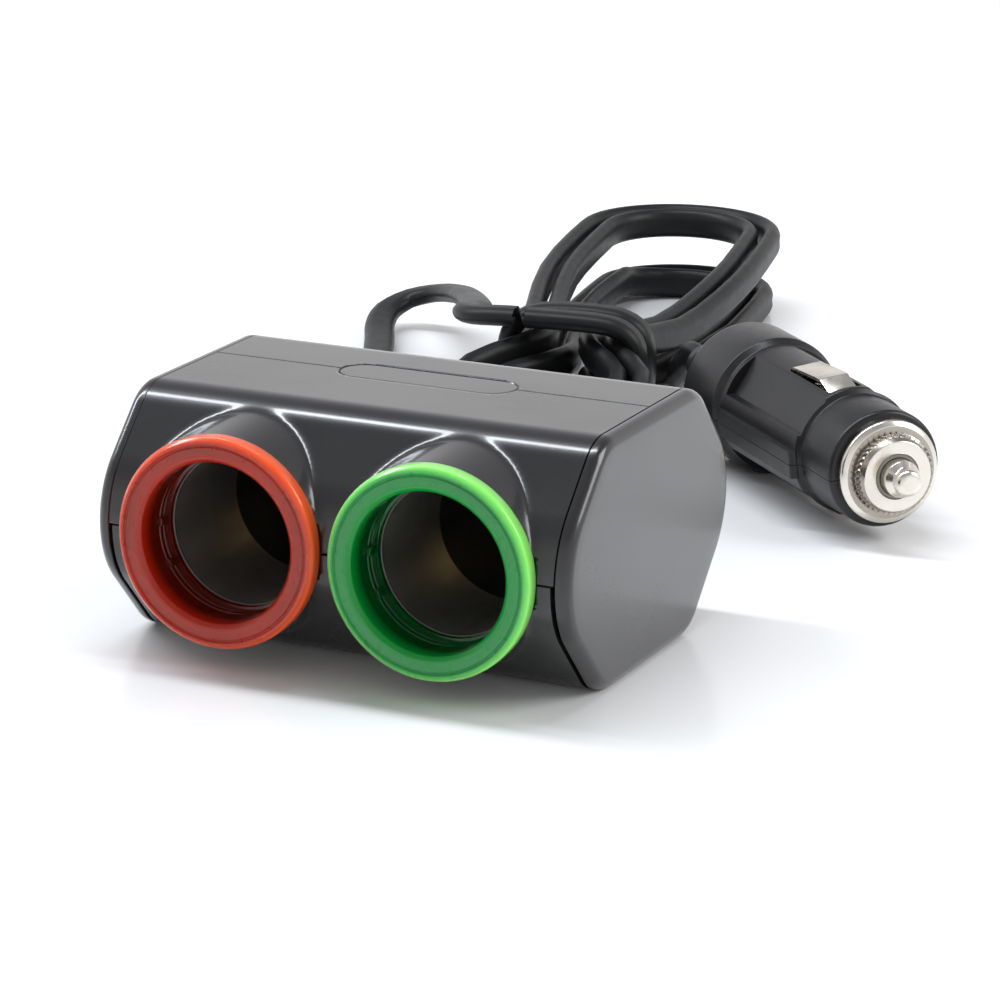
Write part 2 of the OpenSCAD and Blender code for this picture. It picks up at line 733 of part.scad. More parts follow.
module grooved_taper(r1, r2, length, start) {
    difference() {
        along_y(r1, 0, length, r2);
        for (i = [1 : groove_count]) let (y = start + (length - start) * i / (groove_count + 1),
            r = r1 + (r2 - r1) * y / length)
            difference() {
                along_y(r1 + over, y - groove_w / 2, groove_w);
                along_y(r - groove_depth, y - groove_w, 2 * groove_w);
            }
    }
}
module cord_relief() {
    base_in = wall / 2;
    color([0.09, 0.09, 0.09]) {
        difference() {
            translate([0, body_back - base_in, axis_h])
                grooved_taper(relief_r, relief_end_r, relief_l + base_in, base_in);
            bar(-fit, housing_w);
        }
        translate([0, 0, axis_h]) along_y(neck_r, body_back - wall - flange_t, wall + flange_t + base_in);
        intersection() {
            translate([0, 0, axis_h]) along_y(relief_r, body_back - wall - flange_t, flange_t);
            bar(wall + fit, housing_w);
        }
    }
}
module cord_lead() {
    color([0.12, 0.12, 0.12]) tube(flat_rings(lead_path, lead_wide, cord_sides, cord_w / 2, cord_t / 2));
}
module cord_hank() {
    color([0.12, 0.12, 0.12]) tube(hank_rings);
}
module cord_tail() {
    color([0.12, 0.12, 0.12]) tube(flat_rings(tail_path, tail_wide, cord_sides, cord_w / 2, cord_t / 2));
}

// The plug's own frame: its axis along +X from the rear shoulder, its parting plane level
module place_plug() {
    translate([plug_x, plug_y, plug_z]) rotate([0, 0, -plug_heading]) rotate([plug_roll, 0, 0]) children();
}
// A turned solid about the plug's axis, from points [along, radius]
module turned(points) {
    rotate([90, 0, 90]) rotate_extrude() polygon([for (p = points) [p[1], p[0]]]);
}
// A cylinder along the plug's axis
module rod(r, from, to) {
    translate([from, 0, 0]) rotate([0, 90, 0]) cylinder(r = r, h = to - from);
}
collar_start = plug_l - collar_l;
module plug_outside() {
    turned([[0, 0], [0, grip_r - grip_round], [grip_round, grip_r], [grip_l, grip_r],
        [grip_l + grip_step, plug_r], [slot_start - contact_t, plug_r],
        [slot_start - contact_t, plug_r - slot_step], [collar_start - collar_edge, plug_r - slot_step],
        [collar_start, plug_r - collar_edge],
        [collar_start, collar_r],
        [plug_l - collar_edge, collar_r], [plug_l, collar_r - collar_edge], [plug_l, spigot_r],
        [spigot_end, spigot_r], [spigot_end, 0]]);
    intersection() {
        for (side = [-1, 1]) translate([0, side * (plug_r + rib_out - rib_h / 2), 0])
            block([grip_l, collar_start - collar_edge], [-rib_h / 2, rib_h / 2], [-rib_h / 2, rib_h / 2]);
        rod(grip_r, 0, plug_l);
    }
}
module plug_hollow() {
    rod(boot_neck_r + fit, -over, rear_wall + over);
    rod(wire_room_r, rear_wall, grip_l - grip_step);
    rod(fuse_room_r, fuse_room_start, spigot_end + over);
    rod(wire_r + clear, grip_l - 2 * grip_step, fuse_room_start + over);
}
module contact_slot() {
    half_slot = contact_w / 2 + slot_side;
    block([slot_start, slot_end], [-half_slot, half_slot], [slot_depth, grip_r + over]);
}
module plug_half(side) {
    color([0.1, 0.1, 0.1]) place_plug() mirror([0, 0, side < 0 ? 1 : 0]) difference() {
        union() {
            difference() {
                plug_outside();
                plug_hollow();
            }
            intersection() {
                translate([plug_screw_at, 0, 0]) cylinder(r = plug_post_r, h = grip_r);
                rod(grip_r - wall / 2, 0, grip_l);
            }
        }
        contact_slot();
        block([-over, spigot_end + over], [-2 * grip_r, 2 * grip_r], [-2 * grip_r, plug_split / 2]);
        translate([plug_screw_at, 0, -over])
            cylinder(r = side < 0 ? screw_r + clear : pilot_r,
                h = side < 0 ? grip_r + 2 * over : grip_r / 2 + over);
        if (side < 0) translate([plug_screw_at, 0, grip_r - screw_head_h - wall / 2])
            cylinder(r = screw_head_r - clear, h = grip_r);
    }
}
module plug_shell_upper() {
    plug_half(1);
}
module plug_shell_lower() {
    plug_half(-1);
}
module plug_screw() {
    head_in = grip_r - wall / 2 - screw_head_h + fit;
    color([0.7, 0.7, 0.72]) place_plug() translate([plug_screw_at, 0, -head_in - screw_head_h + fit])
        intersection() {
            screw(plug_screw_l);
            cylinder(r = screw_head_r - 2 * clear, h = plug_screw_l);
        }
}
module plug_boot() {
    color([0.09, 0.09, 0.09]) place_plug() rotate([0, 0, 90]) {
        translate([0, fit, 0]) grooved_taper(boot_r, boot_end_r, boot_l - fit, 0);
        along_y(boot_neck_r, -rear_wall - plug_flange_t, rear_wall + plug_flange_t + over);
        along_y(boot_r + fit, -rear_wall - plug_flange_t - fit, plug_flange_t);
    }
}
// A folded contact: a flat that rises to a crest and a steep front, with a foot at each end
module side_contact(side) {
    crest = plug_r + contact_out;
    rise_share = 0.62;
    crest_share = 0.72;
    run = slot_end - slot_start - 2 * slot_side;
    s0 = slot_start + slot_side;
    low = plug_r - contact_base;
    color([0.8, 0.78, 0.72]) place_plug() mirror([0, 0, side < 0 ? 1 : 0])
        translate([0, contact_w / 2, 0]) rotate([90, 0, 0]) linear_extrude(height = contact_w)
            polygon([[s0, low], [s0 + contact_t, low], [s0 + contact_t, plug_r - contact_t / 2],
                [s0 + run * rise_share, crest - contact_t],
                [s0 + run * crest_share - contact_t / 2, crest - contact_t],
                [s0 + run - contact_t, low + contact_t], [s0 + run - contact_t, low], [s0 + run, low],
                [s0 + run, low + 2 * contact_t], [s0 + run * crest_share, crest],
                [s0 + run * rise_share, crest], [s0, plug_r + contact_t / 4]]);
}
module side_contact_upper() {
    side_contact(1);
}
module side_contact_lower() {
    side_contact(-1);
}
// A coil of round wire about Z
module coil(r, height, turns) {
    path = [for (i = [0 : turns * spring_rings]) let (a = 360 * i / spring_rings)
        [r * cos(a), r * sin(a), spring_wire + (height - 2 * spring_wire) * i / (turns * spring_rings)]];
    tube(flat_rings(path, [for (p = path) [0, 0, 1]], spring_sides, spring_wire, spring_wire));
}
module contact_springs() {
    crest_in = plug_r + contact_out - contact_t - 2 * fit;
    color([0.75, 0.75, 0.75]) place_plug() for (side = [0, 1]) mirror([0, 0, side])
        translate([contact_spring_at, 0, slot_depth + fit])
            coil(contact_spring_r, crest_in - slot_depth - 2 * fit, contact_spring_turns);
}
fuse_end = spigot_end - pin_collar_l - 2 * fit;
fuse_start = fuse_end - fuse_l;
module fuse_spring() {
    color([0.75, 0.75, 0.75]) place_plug() translate([fuse_room_start + fit, 0, 0]) rotate([0, 90, 0])
        coil(fuse_spring_r, fuse_start - fuse_room_start - 2 * fit, fuse_spring_turns);
}
module plug_fuse() {
    cap_l = fuse_l / 5;
    glass_r = fuse_d / 2 - 2 * fit;
    color([0.85, 0.85, 0.82]) place_plug() {
        rod(glass_r, fuse_start + cap_l / 2, fuse_end - cap_l / 2);
        rod(fuse_d / 2, fuse_start, fuse_start + cap_l);
        rod(fuse_d / 2, fuse_end - cap_l, fuse_end);
    }
}
module plug_tip() {
    shoulder = spigot_end - 2 * fit;
    nut_face = nut_start + nut_flange + neck_l;
    pin_end = nut_face + pin_neck_l;
    color([0.8, 0.78, 0.72]) place_plug() {
        rod(pin_collar_r, fuse_end, shoulder);
        rod(pin_d / 2, shoulder - fit, pin_end - pin_neck_l / 2);
        turned([[pin_end - pin_neck_l / 2, 0], [pin_end - pin_neck_l / 2, pin_d / 2],
            [pin_end, ball_r * pin_end_share], [pin_end, 0]]);
        translate([pin_end + ball_out / 2, 0, 0]) rotate([0, 90, 0]) sphere(r = ball_r);
    }
}
module tip_insulator() {
    nut_in = nut_start + nut_flange + neck_l - nut_wall - fit / 2;
    color([0.3, 0.3, 0.3]) place_plug() difference() {
        union() {
            rod(bush_r, nut_in - bush_flange, nut_in + nut_wall);
            rod(spigot_r, nut_in - bush_flange, nut_in);
        }
        rod(pin_d / 2 + bush_gap, nut_in - bush_flange - over, nut_in + nut_wall + over);
    }
}
module nose_nut() {
    flange_r = nut_d / 2;
    bead = nut_flange / 2;
    face = nut_start + nut_flange + neck_l;
    color([0.85, 0.83, 0.78]) place_plug() difference() {
        union() {
            rod(flange_r - bead, nut_start, nut_start + nut_flange);
            translate([nut_start + bead, 0, 0]) rotate([0, 90, 0])
                rotate_extrude() translate([flange_r - bead, 0]) circle(r = bead, $fn = 24);
            rod(neck_d / 2, nut_start, face);
        }
        rod(spigot_r + thread_gap, nut_start - over, face - nut_wall);
        rod(bush_r + bush_gap, face - nut_wall - over, face + over);
    }
}

echo(hank_least_gap = hank_gap, cord_length = path_length(lead_path) + path_length(hank_path)
    + path_length(tail_path));

upper_shell();
lower_shell();
rear_shell();
end_cap_left();
end_cap_right();
top_inlay();
socket_ring_red();
socket_ring_green();
socket_tube_left();
socket_tube_right();
socket_base_left();
socket_base_right();
centre_contact_left();
centre_contact_right();
positive_strip();
negative_strip();
lead_positive();
lead_negative();
circuit_board();
indicator_leds();
housing_screws();
cord_relief();
cord_lead();
cord_hank();
cord_tail();
plug_boot();
plug_shell_upper();
plug_shell_lower();
plug_screw();
side_contact_upper();
side_contact_lower();
contact_springs();
nose_nut();
tip_insulator();
plug_tip();
plug_fuse();
fuse_spring();
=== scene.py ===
import json
import math

import bmesh
import bpy
import numpy as np
from mathutils import Matrix, Vector


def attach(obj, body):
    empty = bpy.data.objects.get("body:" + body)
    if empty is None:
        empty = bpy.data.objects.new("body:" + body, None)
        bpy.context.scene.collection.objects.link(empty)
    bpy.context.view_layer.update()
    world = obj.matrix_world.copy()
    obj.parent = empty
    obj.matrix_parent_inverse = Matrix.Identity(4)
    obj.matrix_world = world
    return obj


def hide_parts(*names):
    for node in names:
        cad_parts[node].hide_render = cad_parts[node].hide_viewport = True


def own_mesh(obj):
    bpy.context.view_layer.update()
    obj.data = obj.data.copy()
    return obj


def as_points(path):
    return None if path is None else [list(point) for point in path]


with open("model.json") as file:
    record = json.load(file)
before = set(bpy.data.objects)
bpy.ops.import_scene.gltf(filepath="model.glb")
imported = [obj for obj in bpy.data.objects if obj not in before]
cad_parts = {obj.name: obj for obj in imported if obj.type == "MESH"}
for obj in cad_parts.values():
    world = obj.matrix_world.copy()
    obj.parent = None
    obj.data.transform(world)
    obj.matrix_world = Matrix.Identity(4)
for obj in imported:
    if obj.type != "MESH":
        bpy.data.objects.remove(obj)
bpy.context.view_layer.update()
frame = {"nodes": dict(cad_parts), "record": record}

MM = 0.001

# Sizes in millimetres
HOUSING_H = 36.0
WALL = 2.2
BULGE_R = 13.0  # round of the front and the back
EDGE_R = 8.0  # round of the edges above and below
AXIS_H = 18.5  # both sockets' axes above the ground
PITCH = 32.0
SOCKETS = (-PITCH / 2, PITCH / 2)
BODY_FRONT = -27.9
BODY_BACK = 30.5
HALF_W = 33.65  # to an end plate's inner face
SKIN_HALF_W = 34.8  # the skin that the shells are cut from
SEAM_Y = 4.1
SEAM_GAP = 0.15
SEAM_W = 0.27
SEAM_DEPTH = 1.6
CAP_GAP = 0.6  # lower shell to an end plate
CAP_T = 2.1
CAP_ROUND = 1.7
INLAY_L = 27.0
INLAY_W = 7.6
RING_R = 15.0
RING_FRONT = -30.5
RING_FIT = 0.04
THROAT_R = 11.4
NUB_R = 11.35
BORE_R = 10.65
TUBE_R = 11.15
TUBE_Y = -21.6
TUBE_END = -3.0
SLEEVE_R = 12.55
FIT = 0.1  # sleeve to shell
BOSS_R = 14.7
BOSS_MOUTH = -27.4
BOSS_SPAN = (-31.5, -5.0)
BOSS_TAPER = math.tan(math.radians(6))
BOSS_FILLET = 0.6
SCREW_YS = (-6.5, 9.9)

CORD_W = 5.4
CORD_T = 3.4
RELIEF_END = 44.5
GROOVES = 5  # in the relief, and in the plug's boot

PLUG_SHOULDER = Vector((6.3, 112.4, 11.3))
PLUG_HEADING = math.radians(45)
PLUG_ROLL = math.radians(8)
# Along the plug from its rear shoulder, or out from its axis
BOOT_L = 16.0
GRIP_R = 11.2
PLUG_R = 10.3
COLLAR_R = 9.2
COLLAR_END = 53.4
SPIGOT_R = 5.5
SPIGOT_END = 56.5
NUT_R = 8.1
NECK_R = 5.95
KNURL_R = 5.65  # the knurled faces lie beyond it
FUSE_START = 23.0
FUSE_END = 53.0
FUSE_R = 3.15
PIN_R = 2.9
PIN_BASE_R = 3.5
PIN_POINT_R = 2.1
PIN_END = 62.6
PLUG_SCREW_X = 8.5
PLUG_SPLIT = 0.05
CLEAR_OF_PLUG = 13
CONTACT_SLOT = (26.4, 41.6)
CONTACT_SPRING_X = 34
SLOT_FLOOR = 5.1
KNURL_TEETH = 40

CAMERA_PLACE = (256.6, -548.0, 189.1)
CAMERA_FORWARD = (-0.3909, 0.8800, -0.2699)
CAMERA_RIGHT = (0.9119, 0.4100, 0.0161)
LENS = 160.56
SENSOR_W = 36


# Camera
def make_camera():
    forward = Vector(CAMERA_FORWARD).normalized()
    right = Vector(CAMERA_RIGHT)
    right = (right - right.dot(forward) * forward).normalized()
    up = right.cross(forward)
    data = bpy.data.cameras.new("camera")
    data.sensor_width = SENSOR_W
    data.lens = LENS
    data.clip_start = 0.01
    data.clip_end = 20
    camera = bpy.data.objects.new("camera", data)
    bpy.context.scene.collection.objects.link(camera)
    turn = Matrix((right, up, -forward)).transposed().to_4x4()
    camera.matrix_world = Matrix.Translation(Vector(CAMERA_PLACE) * MM) @ turn
    bpy.context.scene.camera = camera


make_camera()


# Meshes
def link(name, data):
    piece = bpy.data.objects.new(name, data)
    bpy.context.scene.collection.objects.link(piece)
    return piece


def mesh_piece(name, points, faces, sharp=None):
    """A piece from points in millimetres, with smooth faces and edges sharper than an angle kept crisp."""
    mesh = bpy.data.meshes.new(name)
    mesh.from_pydata([tuple(np.asarray(p, dtype=float) * MM) for p in points], [], faces)
    mesh.validate()
    tidy(mesh)
    shade(mesh, sharp)
    return link(name, mesh)


def tidy(mesh):
    """Joins points that coincide, drops edges that no face uses and turns every face outwards."""
    edit = bmesh.new()
    edit.from_mesh(mesh)
    bmesh.ops.remove_doubles(edit, verts=edit.verts, dist=1e-7)
    loose = [edge for edge in edit.edges if not edge.link_faces]
    bmesh.ops.delete(edit, geom=loose, context="EDGES")
    bmesh.ops.recalc_face_normals(edit, faces=edit.faces)
    edit.to_mesh(mesh)
    edit.free()


def shade(mesh, sharp=None):
    mesh.polygons.foreach_set("use_smooth", [True] * len(mesh.polygons))
    if sharp is not None:
        mesh.set_sharp_from_angle(angle=math.radians(sharp))
    mesh.update()


def worked(piece):
    """A piece's mesh after its modifiers."""
    return bpy.data.meshes.new_from_object(piece.evaluated_get(bpy.context.evaluated_depsgraph_get()))


def skin_rings(rings, closed=False):
    """Faces that join rings of points, with a cap at each end unless they close on themselves."""
    sides = len(rings[0])
    points = [p for ring in rings for p in ring]
    faces = []
    count = len(rings)
    for i in range(count if closed else count - 1):
        j = (i + 1) % count
        for k in range(sides):
            n = (k + 1) % sides
            faces.append((i * sides + k, i * sides + n, j * sides + n, j * sides + k))
    if not closed:
        faces.append(tuple(range(sides))[::-1])
        faces.append(tuple((count - 1) * sides + k for k in range(sides)))
    return points, faces


# Finishes
class Wire:
    """A value in a node tree that can be used in Python sums."""

    def __init__(self, bench, socket):
        self.bench, self.socket = bench, socket

    def _math(self, kind, *others):
        return self.bench.math(kind, *others)

    def __add__(self, other):
        return self._math("ADD", self, other)

    __radd__ = __add__

    def __sub__(self, other):
        return self._math("SUBTRACT", self, other)

    def __rsub__(self, other):
        return self._math("SUBTRACT", other, self)

    def __mul__(self, other):
        return self._math("MULTIPLY", self, other)

    __rmul__ = __mul__


class Bench:
    """Builds one node tree. Its methods return wires."""

    def __init__(self, tree):
        self.tree = tree
        tree.nodes.clear()

    def node(self, kind, settings=None, out=0, **inputs):
        """Adds a node. An input goes by its name with _ for each space, or by its number after an i."""
        made = self.tree.nodes.new(kind)
        for key, value in (settings or {}).items():
            if key == "ramp":
                stops = made.color_ramp.elements
                while len(stops) < len(value):
                    stops.new(0.5)
                for stop, (at, shade_of) in zip(stops, value):
                    stop.position = at
                    stop.color = shade_of
            else:
                setattr(made, key, value)
        for key, value in inputs.items():
            self.plug(self.find(made, key), value)
        return made if out is None else Wire(self, made.outputs[out])

    @staticmethod
    def find(made, key):
        if key[0] == "i" and key[1:].isdigit():
            return made.inputs[int(key[1:])]
        return made.inputs[key.replace("_", " ")]

    def plug(self, socket, value):
        if isinstance(value, Wire):
            self.tree.links.new(value.socket, socket)
        elif isinstance(value, (tuple, list)) and len(value) == 3 and socket.type == "RGBA":
            socket.default_value = (*value, 1)
        else:
            socket.default_value = value

    def math(self, kind, a, b=0.0):
        return self.node("ShaderNodeMath", {"operation": kind}, i0=a, i1=b)

    def place(self):
        return self.node("ShaderNodeTexCoord", out=3)

    def split(self, vector):
        made = self.node("ShaderNodeSeparateXYZ", out=None, i0=vector)
        return [Wire(self, s) for s in made.outputs]

    def noise(self, scale, detail, stretch=None):
        where = self.place()
        if stretch:
            where = self.node("ShaderNodeMapping", i0=where, i3=stretch)
        return self.node("ShaderNodeTexNoise", Vector=where, Scale=scale, Detail=detail, Roughness=0.55)

    def range(self, value, low, high, to_low, to_high):
        return self.node("ShaderNodeMapRange", i0=value, i1=low, i2=high, i3=to_low, i4=to_high)

    def mix(self, share, a, b):
        made = self.node("ShaderNodeMix", {"data_type": "RGBA"}, out=None)
        self.plug(made.inputs[0], share)
        self.plug(made.inputs[6], a)
        self.plug(made.inputs[7], b)
        return Wire(self, made.outputs[2])

    def bump(self, height, distance, strength):
        return self.node("ShaderNodeBump", Height=height, Distance=distance, Strength=strength)

    def shader(self, **values):
        made = self.node("ShaderNodeBsdfPrincipled", out=None)
        for key, value in values.items():
            self.plug(self.find(made, key), value)
        return made

    def finish(self, shader):
        out = self.node("ShaderNodeOutputMaterial", out=None)
        self.tree.links.new(shader.outputs[0], out.inputs["Surface"])

    def surface(self, **values):
        self.finish(self.shader(**values))

    def two_surfaces(self, share, first, second):
        made = self.node("ShaderNodeMixShader", out=None)
        self.plug(made.inputs[0], share)
        self.tree.links.new(first.outputs[0], made.inputs[1])
        self.tree.links.new(second.outputs[0], made.inputs[2])
        self.finish(made)


def material(name):
    made = bpy.data.materials.new(name)
    made.use_nodes = True
    return made, Bench(made.node_tree)


def gloss_black(name):
    """Glossy black moulding under a clear skin, with faint patches of grime."""
    made, b = material(name)
    cloud = b.noise(35, 2)
    fine = b.noise(900, 2)
    grime = b.range(b.noise(14, 4), 0.52, 0.75, 0, 1)
    rough = b.range(cloud, 0.3, 0.7, 0.2, 0.27) + grime * 0.06 + fine * 0.03
    colour = b.mix(grime, (0.013, 0.013, 0.0145), (0.02, 0.02, 0.021))
    b.surface(Base_Color=colour, Roughness=rough, IOR=1.5, Coat_Weight=b.range(grime, 0, 1, 0.5, 0.3),
              Coat_Roughness=0.07, Coat_IOR=1.45, Normal=b.bump(fine * 0.4 + cloud, 0.00002, 0.35))
    return made


def from_axis(b, x, z):
    """Distance from the nearer socket's axis, in metres."""
    aside = b.math("ABSOLUTE", x) - PITCH / 2 * MM
    up = z - AXIS_H * MM
    return b.math("SQRT", aside * aside + up * up)


# Where the rings' finish changes, in metres: out from a socket's axis, then along Y
# Past BEAD_FADE the ring is painted lighter, as a painted glow of the outer bead
BEAD_FADE = (0.0140, 0.0149)
THROAT_FADE = (0.0126, 0.0120)
FACE_FADE = (-0.0290, -0.0303)
CLEAR_FADE = (-0.0300, -0.0270)


def tinted(name, body, deep, dusty, painted_glow, glow):
    """Tinted clear plastic: milky, dusty front; clear throat, its tint partly painted shade; painted glow at
    the bead.
    """
    made, b = material(name)
    x, y, z = b.split(b.place())
    dust = b.noise(700, 4)
    cloud = b.noise(70, 3)
    radius = from_axis(b, x, z)
    rim = b.range(radius, *BEAD_FADE, 0, 1)
    front = b.range(y, *FACE_FADE, 0, 1)
    inner = b.range(radius, *THROAT_FADE, 0, 1)
    face = front * (1 - rim) * (1 - inner)
    shade_of = b.mix(face * b.range(cloud, 0.3, 0.65, 0.5, 0.95), body, dusty)
    # Painted glow: the outer bead is painted in a lighter colour
    shade_of = b.mix(rim * 0.7, shade_of, painted_glow)
    rough = b.range(dust * (0.4 + face), 0.2, 0.9, 0.13, 0.42)
    bump = b.bump(dust, 0.00002, 0.3)
    milky = b.shader(Base_Color=shade_of, Roughness=rough, Subsurface_Weight=0.8, Subsurface_Radius=glow,
                     Subsurface_Scale=0.003, IOR=1.49, Specular_IOR_Level=0.42, Normal=bump)
    # The clear plastic's tint is darker than the body: partly its own deep colour, partly painted shade in
    # the throat
    clear = b.shader(Base_Color=deep, Roughness=0.06, Transmission_Weight=0.95, IOR=1.49, Normal=bump)
    # The bead is also kept milky, so that its painted glow shows
    clearness = b.range(y, *CLEAR_FADE, 0.4, 0.88) + inner * front * 0.2 - rim * 0.34
    b.two_surfaces(clearness, milky, clear)
    return made


def metal(name, colour, dull, rough, stretch=None, metallic=1.0, mouth=None):
    """Plated metal with cloudy tarnish and a fine grain; it is dark at its mouth, a place along Y."""
    made, b = material(name)
    grain = b.noise(300, 3, stretch)
    cloud = b.noise(90, 4)
    shade_of = b.mix(b.range(cloud, 0.4, 0.65, 0, 1), colour, dull)
    half_spread = 0.075
    if mouth:
        y = b.split(b.place())[1]
        shade_of = b.mix(b.range(y, mouth, mouth + 0.0005, 0.85, 0), shade_of, (0.02, 0.018, 0.015))
    b.surface(Base_Color=shade_of, Metallic=metallic,
              Roughness=b.range(grain, 0.3, 0.7, rough - half_spread, rough + half_spread),
              Normal=b.bump(grain, 0.00001, 0.3))
    return made


def plastic(name, colour, lighter, rough, bump=0.00003, scale=600, gloss=0.5):
    """Moulded plastic or rubber with cloudy patches and a fine grain."""
    made, b = material(name)
    grain = b.noise(scale, 3)
    cloud = b.noise(45, 4)
    b.surface(Base_Color=b.mix(b.range(cloud, 0.35, 0.7, 0, 1), colour, lighter), IOR=1.5,
              Roughness=b.range(grain + cloud, 0.7, 1.3, rough, rough + 0.1), Specular_IOR_Level=gloss,
              Normal=b.bump(grain, bump, 0.5))
    return made


LOOKS = {
    "gloss_black": gloss_black("gloss_black_shell"),
    "satin_black": gloss_black("gloss_black_inlay"),
    # Each ring: body, clear tint (partly painted shade in the throat), dusty face, painted glow at the bead,
    # subsurface radius
    "tint_red": tinted("tinted_red", (0.86, 0.045, 0.012), (0.24, 0.03, 0.012), (0.44, 0.06, 0.035),
                       (1, 0.17, 0.045), (1, 0.2, 0.08)),
    "tint_green": tinted("tinted_green", (0.008, 0.62, 0.09), (0.006, 0.16, 0.05), (0.08, 0.42, 0.14),
                         (0.45, 1, 0.22), (0.2, 1, 0.3)),
    "plated_tube": metal("plated_tube", (0.58, 0.55, 0.51), (0.5, 0.47, 0.43), 0.38, stretch=(1, 0.1, 1),
                         metallic=0.9, mouth=TUBE_Y * MM),
    "bakelite": plastic("black_cup", (0.012, 0.012, 0.012), (0.02, 0.02, 0.02), 0.45),
    "brass": metal("brass_contact", (0.8, 0.58, 0.25), (0.6, 0.4, 0.16), 0.3),
    "wire_red": plastic("red_wire", (0.45, 0.02, 0.02), (0.55, 0.04, 0.03), 0.4),
    "wire_black": plastic("black_wire", (0.015, 0.015, 0.016), (0.025, 0.025, 0.026), 0.4),
    "board_green": plastic("green_board", (0.02, 0.16, 0.06), (0.03, 0.22, 0.09), 0.3),
    "lamp_clear": plastic("lamp_body", (0.8, 0.8, 0.74), (0.9, 0.9, 0.84), 0.2),
    "screw_steel": metal("screw_steel", (0.6, 0.6, 0.6), (0.45, 0.44, 0.43), 0.3),
    "cord_rubber": plastic("relief_rubber", (0.016, 0.016, 0.017), (0.03, 0.03, 0.031), 0.42, bump=0.00005),
    "cord_pvc": plastic("cord_jacket", (0.008, 0.0085, 0.009), (0.013, 0.0135, 0.014), 0.38,
                        bump=0.00005, scale=500, gloss=0.24),
    "plug_black": plastic("plug_moulding", (0.009, 0.009, 0.01), (0.015, 0.015, 0.016), 0.27,
                          bump=0.00004, gloss=0.36),
    "nickel": metal("nickel_plate", (0.78, 0.74, 0.67), (0.66, 0.6, 0.52), 0.22),
    # A darker copy of the nickel plate: painted shade for the knurled teeth
    "knurled": metal("knurl_shaded_nickel", (0.42, 0.39, 0.34), (0.26, 0.23, 0.2), 0.28),
    "spring_steel": metal("spring_steel", (0.55, 0.55, 0.54), (0.42, 0.42, 0.41), 0.3),
    "insulator": plastic("fibre_bush", (0.2, 0.19, 0.17), (0.26, 0.25, 0.22), 0.6),
    "fuse_glass": plastic("fuse_body", (0.6, 0.62, 0.6), (0.7, 0.7, 0.68), 0.15),
}
SLOTS = {entry["node"]: entry["material_slot"] for entry in frame["record"]["subparts"]}


def dress(piece, slot):
    piece.data.materials.clear()
    piece.data.materials.append(LOOKS[slot])


# The cord's route
def ease(x):
    """A smooth step from 0 to 1."""
    return 0.0 if x <= 0 else 1.0 if x >= 1 else (1 - math.cos(math.pi * x)) / 2


def unit(v):
    return v / np.linalg.norm(v)


# The hank of cord: loops of two lobes, back and front, that meet in a waist with a tie round it
HANK_ORIGIN = np.array([-27.0, 118.0, 0.0])
HANK_TURN = math.radians(9.5)
HANK_ACROSS = np.array([math.cos(HANK_TURN), math.sin(HANK_TURN), 0])
HANK_ALONG = np.array([-math.sin(HANK_TURN), math.cos(HANK_TURN), 0])
UP = np.array([0.0, 0.0, 1.0])
LOOP_GAP = 0.7
LOOP_STEP = CORD_T + LOOP_GAP
LAYER_STEP = CORD_W + LOOP_GAP
LOW_Z = CORD_W / 2 + 0.1
LOBE_BACK = 104
LOBE_FRONT = 44
LOBE_HALF = 18.4
LOOP_START, LOOP_END = 0.03, 3.45
BACK_STEPS = 7
FRONT_STEPS = 5
WIDEN_SHARE = 0.62  # of the way to the flare
CLIMB_START = 1.75
CLIMB_RUN = 0.5
FAN_RISE = 5
TIE_HALF_W = 11.6
TIE_MID = 1.0
TIE_HALF_H = 8.4
TIE_Z = TIE_HALF_H + CORD_T / 2 + 0.2
TIE_START = -5
TIE_PITCH = 6
TIE_ROUND = 3 / 5
TIE_TURN = 615
TIE_STEPS = 26
WAIST_HALF = 2.25 * LOOP_STEP
WAIST_LIFT = TIE_Z - LAYER_STEP / 2 - LOW_Z
LIFT_RUN = 26
JOIN_STEPS = (0.2, 0.4, 0.6, 0.8)


def from_hank(p):
    """A point in the part's frame from one across, along and above the hank's middle."""
    return HANK_ORIGIN + p[0] * HANK_ACROSS + p[1] * HANK_ALONG + p[2] * UP


def lobe_at(g, waist, half, reach, flare):
    """Across and along a quarter of a loop: it widens from the waist up to the flare, then turns round."""
    if g < flare:
        return waist + (half - waist) * ease(g / flare / WIDEN_SHARE), (reach - half) * g / flare
    angle = math.pi / 2 * (g - flare) / (1 - flare)
    return half * math.cos(angle), reach - half + half * math.sin(angle)


def loop_at(s):
    """A point of the hank after s loops, from the waist round the back lobe and then the front one."""
    q = int(4 * s) % 4
    f = 4 * s - int(4 * s)
    g = f if q % 2 == 0 else 1 - f
    back = q < 2
    side = 1 if q in (1, 2) else -1
    inset = (s if s < 2 else 4 - s) * LOOP_STEP
    reach, flare = (LOBE_BACK - inset, 3 / BACK_STEPS) if back else (LOBE_FRONT - inset, 2 / FRONT_STEPS)
    across, along = lobe_at(g, WAIST_HALF - inset, LOBE_HALF - inset, reach, flare)
    top = 1 - ease((s - CLIMB_START) / CLIMB_RUN)
    lift = WAIST_LIFT * (1 - ease(along / LIFT_RUN))
    fan = FAN_RISE * top * ease(along / LOBE_BACK) if back else 0
    return np.array([side * across, along if back else -along, LOW_Z + LAYER_STEP * top + lift + fan])


def signed_pow(x, p):
    return math.copysign(abs(x) ** p, x)


def tie_at(degrees):
    """A point of the cord's last turns, which are wound round the hank's waist."""
    a = math.radians(degrees)
    return np.array([TIE_HALF_W * signed_pow(math.sin(a), TIE_ROUND) + TIE_MID,
                     TIE_START + TIE_PITCH * degrees / 360,
                     TIE_Z + TIE_HALF_H * signed_pow(math.cos(a), TIE_ROUND)])


